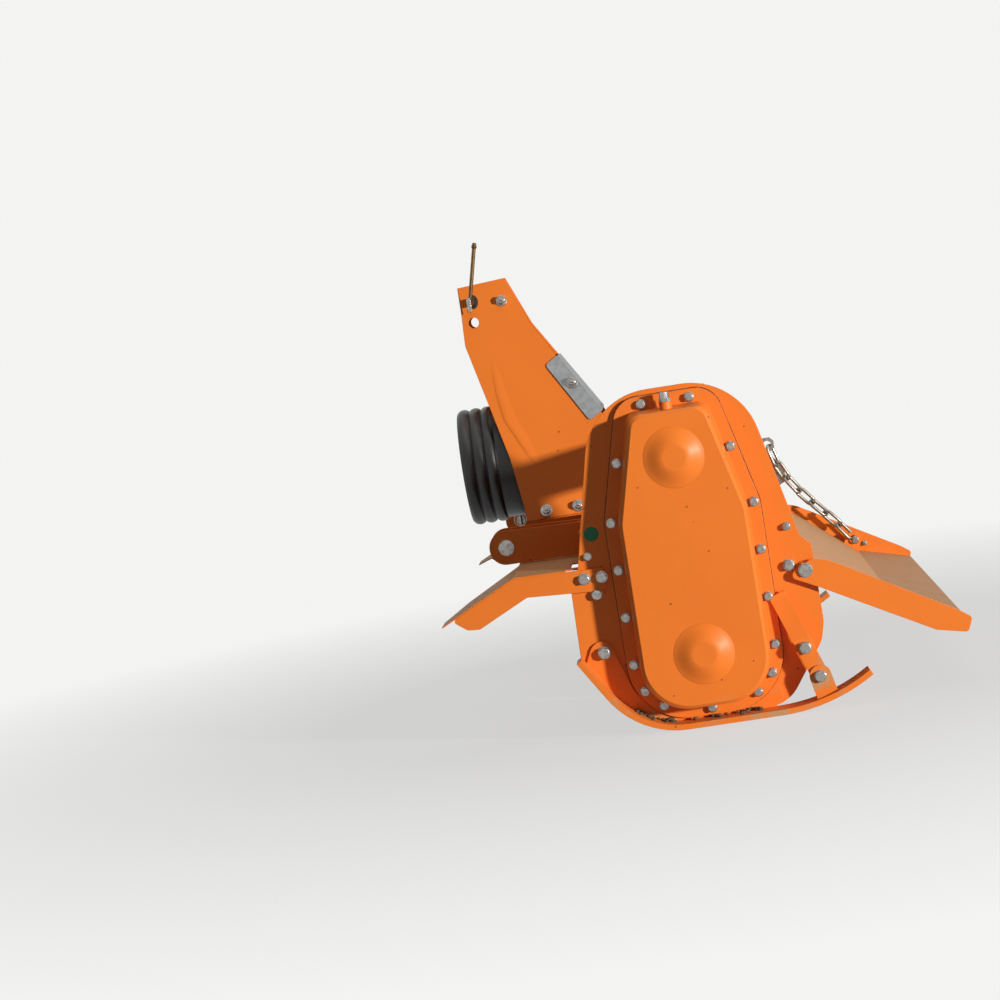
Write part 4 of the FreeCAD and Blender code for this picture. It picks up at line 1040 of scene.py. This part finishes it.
def floor_disc(radius, rings=24, sides=96):
    """Rings of points: the distance grows along one parameter, the angle along the other."""
    r = np.linspace(0.02, radius, rings)[:, None]
    a = full_turn(sides)[None, :]
    points = np.stack([r * np.cos(a), r * np.sin(a), 0 * r * a], -1).reshape(-1, 3)
    cells = quads(rings, sides)[:, ::-1]
    mesh = bpy.data.meshes.new("floor")
    mesh.from_pydata(points.tolist(), [], cells.tolist() + [list(range(sides))])
    return mesh


def floor_material():
    """A matt floor, mixed with plain light by FLOOR_GLOW up to FLOOR_NEAR and fully at FLOOR_FAR."""
    g = Graph("floor_matt")
    far = g.node("ShaderNodeVectorMath", {"operation": "LENGTH"})
    g.fill(far.inputs[0], g.place)
    ray = g.node("ShaderNodeLightPath")
    looked_at = g.math("MAXIMUM", ray.outputs["Is Camera Ray"], ray.outputs["Is Glossy Ray"])
    glow = g.ramp(far.outputs["Value"], FLOOR_NEAR, FLOOR_FAR, FLOOR_GLOW, 1.0)
    matt = g.node("ShaderNodeBsdfDiffuse", Color=FLOOR_COLOUR)
    light = g.node("ShaderNodeEmission", Color=PALE, Strength=1.0)
    blend = g.node("ShaderNodeMixShader")
    g.fill(blend.inputs[0], g.math("MULTIPLY", glow, looked_at))
    g.tree.links.new(matt.outputs[0], blend.inputs[1])
    g.tree.links.new(light.outputs[0], blend.inputs[2])
    output = g.node("ShaderNodeOutputMaterial")
    g.tree.links.new(blend.outputs[0], output.inputs[0])
    return g.material


floor = bpy.data.objects.new("floor", floor_disc(FLOOR_R))
floor.data.materials.append(floor_material())
bpy.context.scene.collection.objects.link(floor)
print("floor reaches", FLOOR_FAR, "m before it is plain light")

# %% [markdown]
# Beyond the floor the camera, and the rays that metal and paint mirror, see the same pale colour,
# so no horizon shows. All other rays still meet the dim world, and the machine's light stays.

# %% Background
nodes, joins = world.node_tree.nodes, world.node_tree.links
rays = nodes.new("ShaderNodeLightPath")
seen = rays.outputs["Is Camera Ray"]
for kind in ("Is Glossy Ray", "Is Transmission Ray"):
    either = nodes.new("ShaderNodeMath")
    either.operation = "MAXIMUM"
    joins.new(seen, either.inputs[0])
    joins.new(rays.outputs[kind], either.inputs[1])
    seen = either.outputs[0]
backdrop = nodes.new("ShaderNodeBackground")
backdrop.inputs["Color"].default_value = PALE
choice = nodes.new("ShaderNodeMixShader")
joins.new(seen, choice.inputs[0])
joins.new(nodes["Background"].outputs[0], choice.inputs[1])
joins.new(backdrop.outputs[0], choice.inputs[2])
joins.new(choice.outputs[0], nodes["World Output"].inputs[0])
print("world nodes", len(nodes))
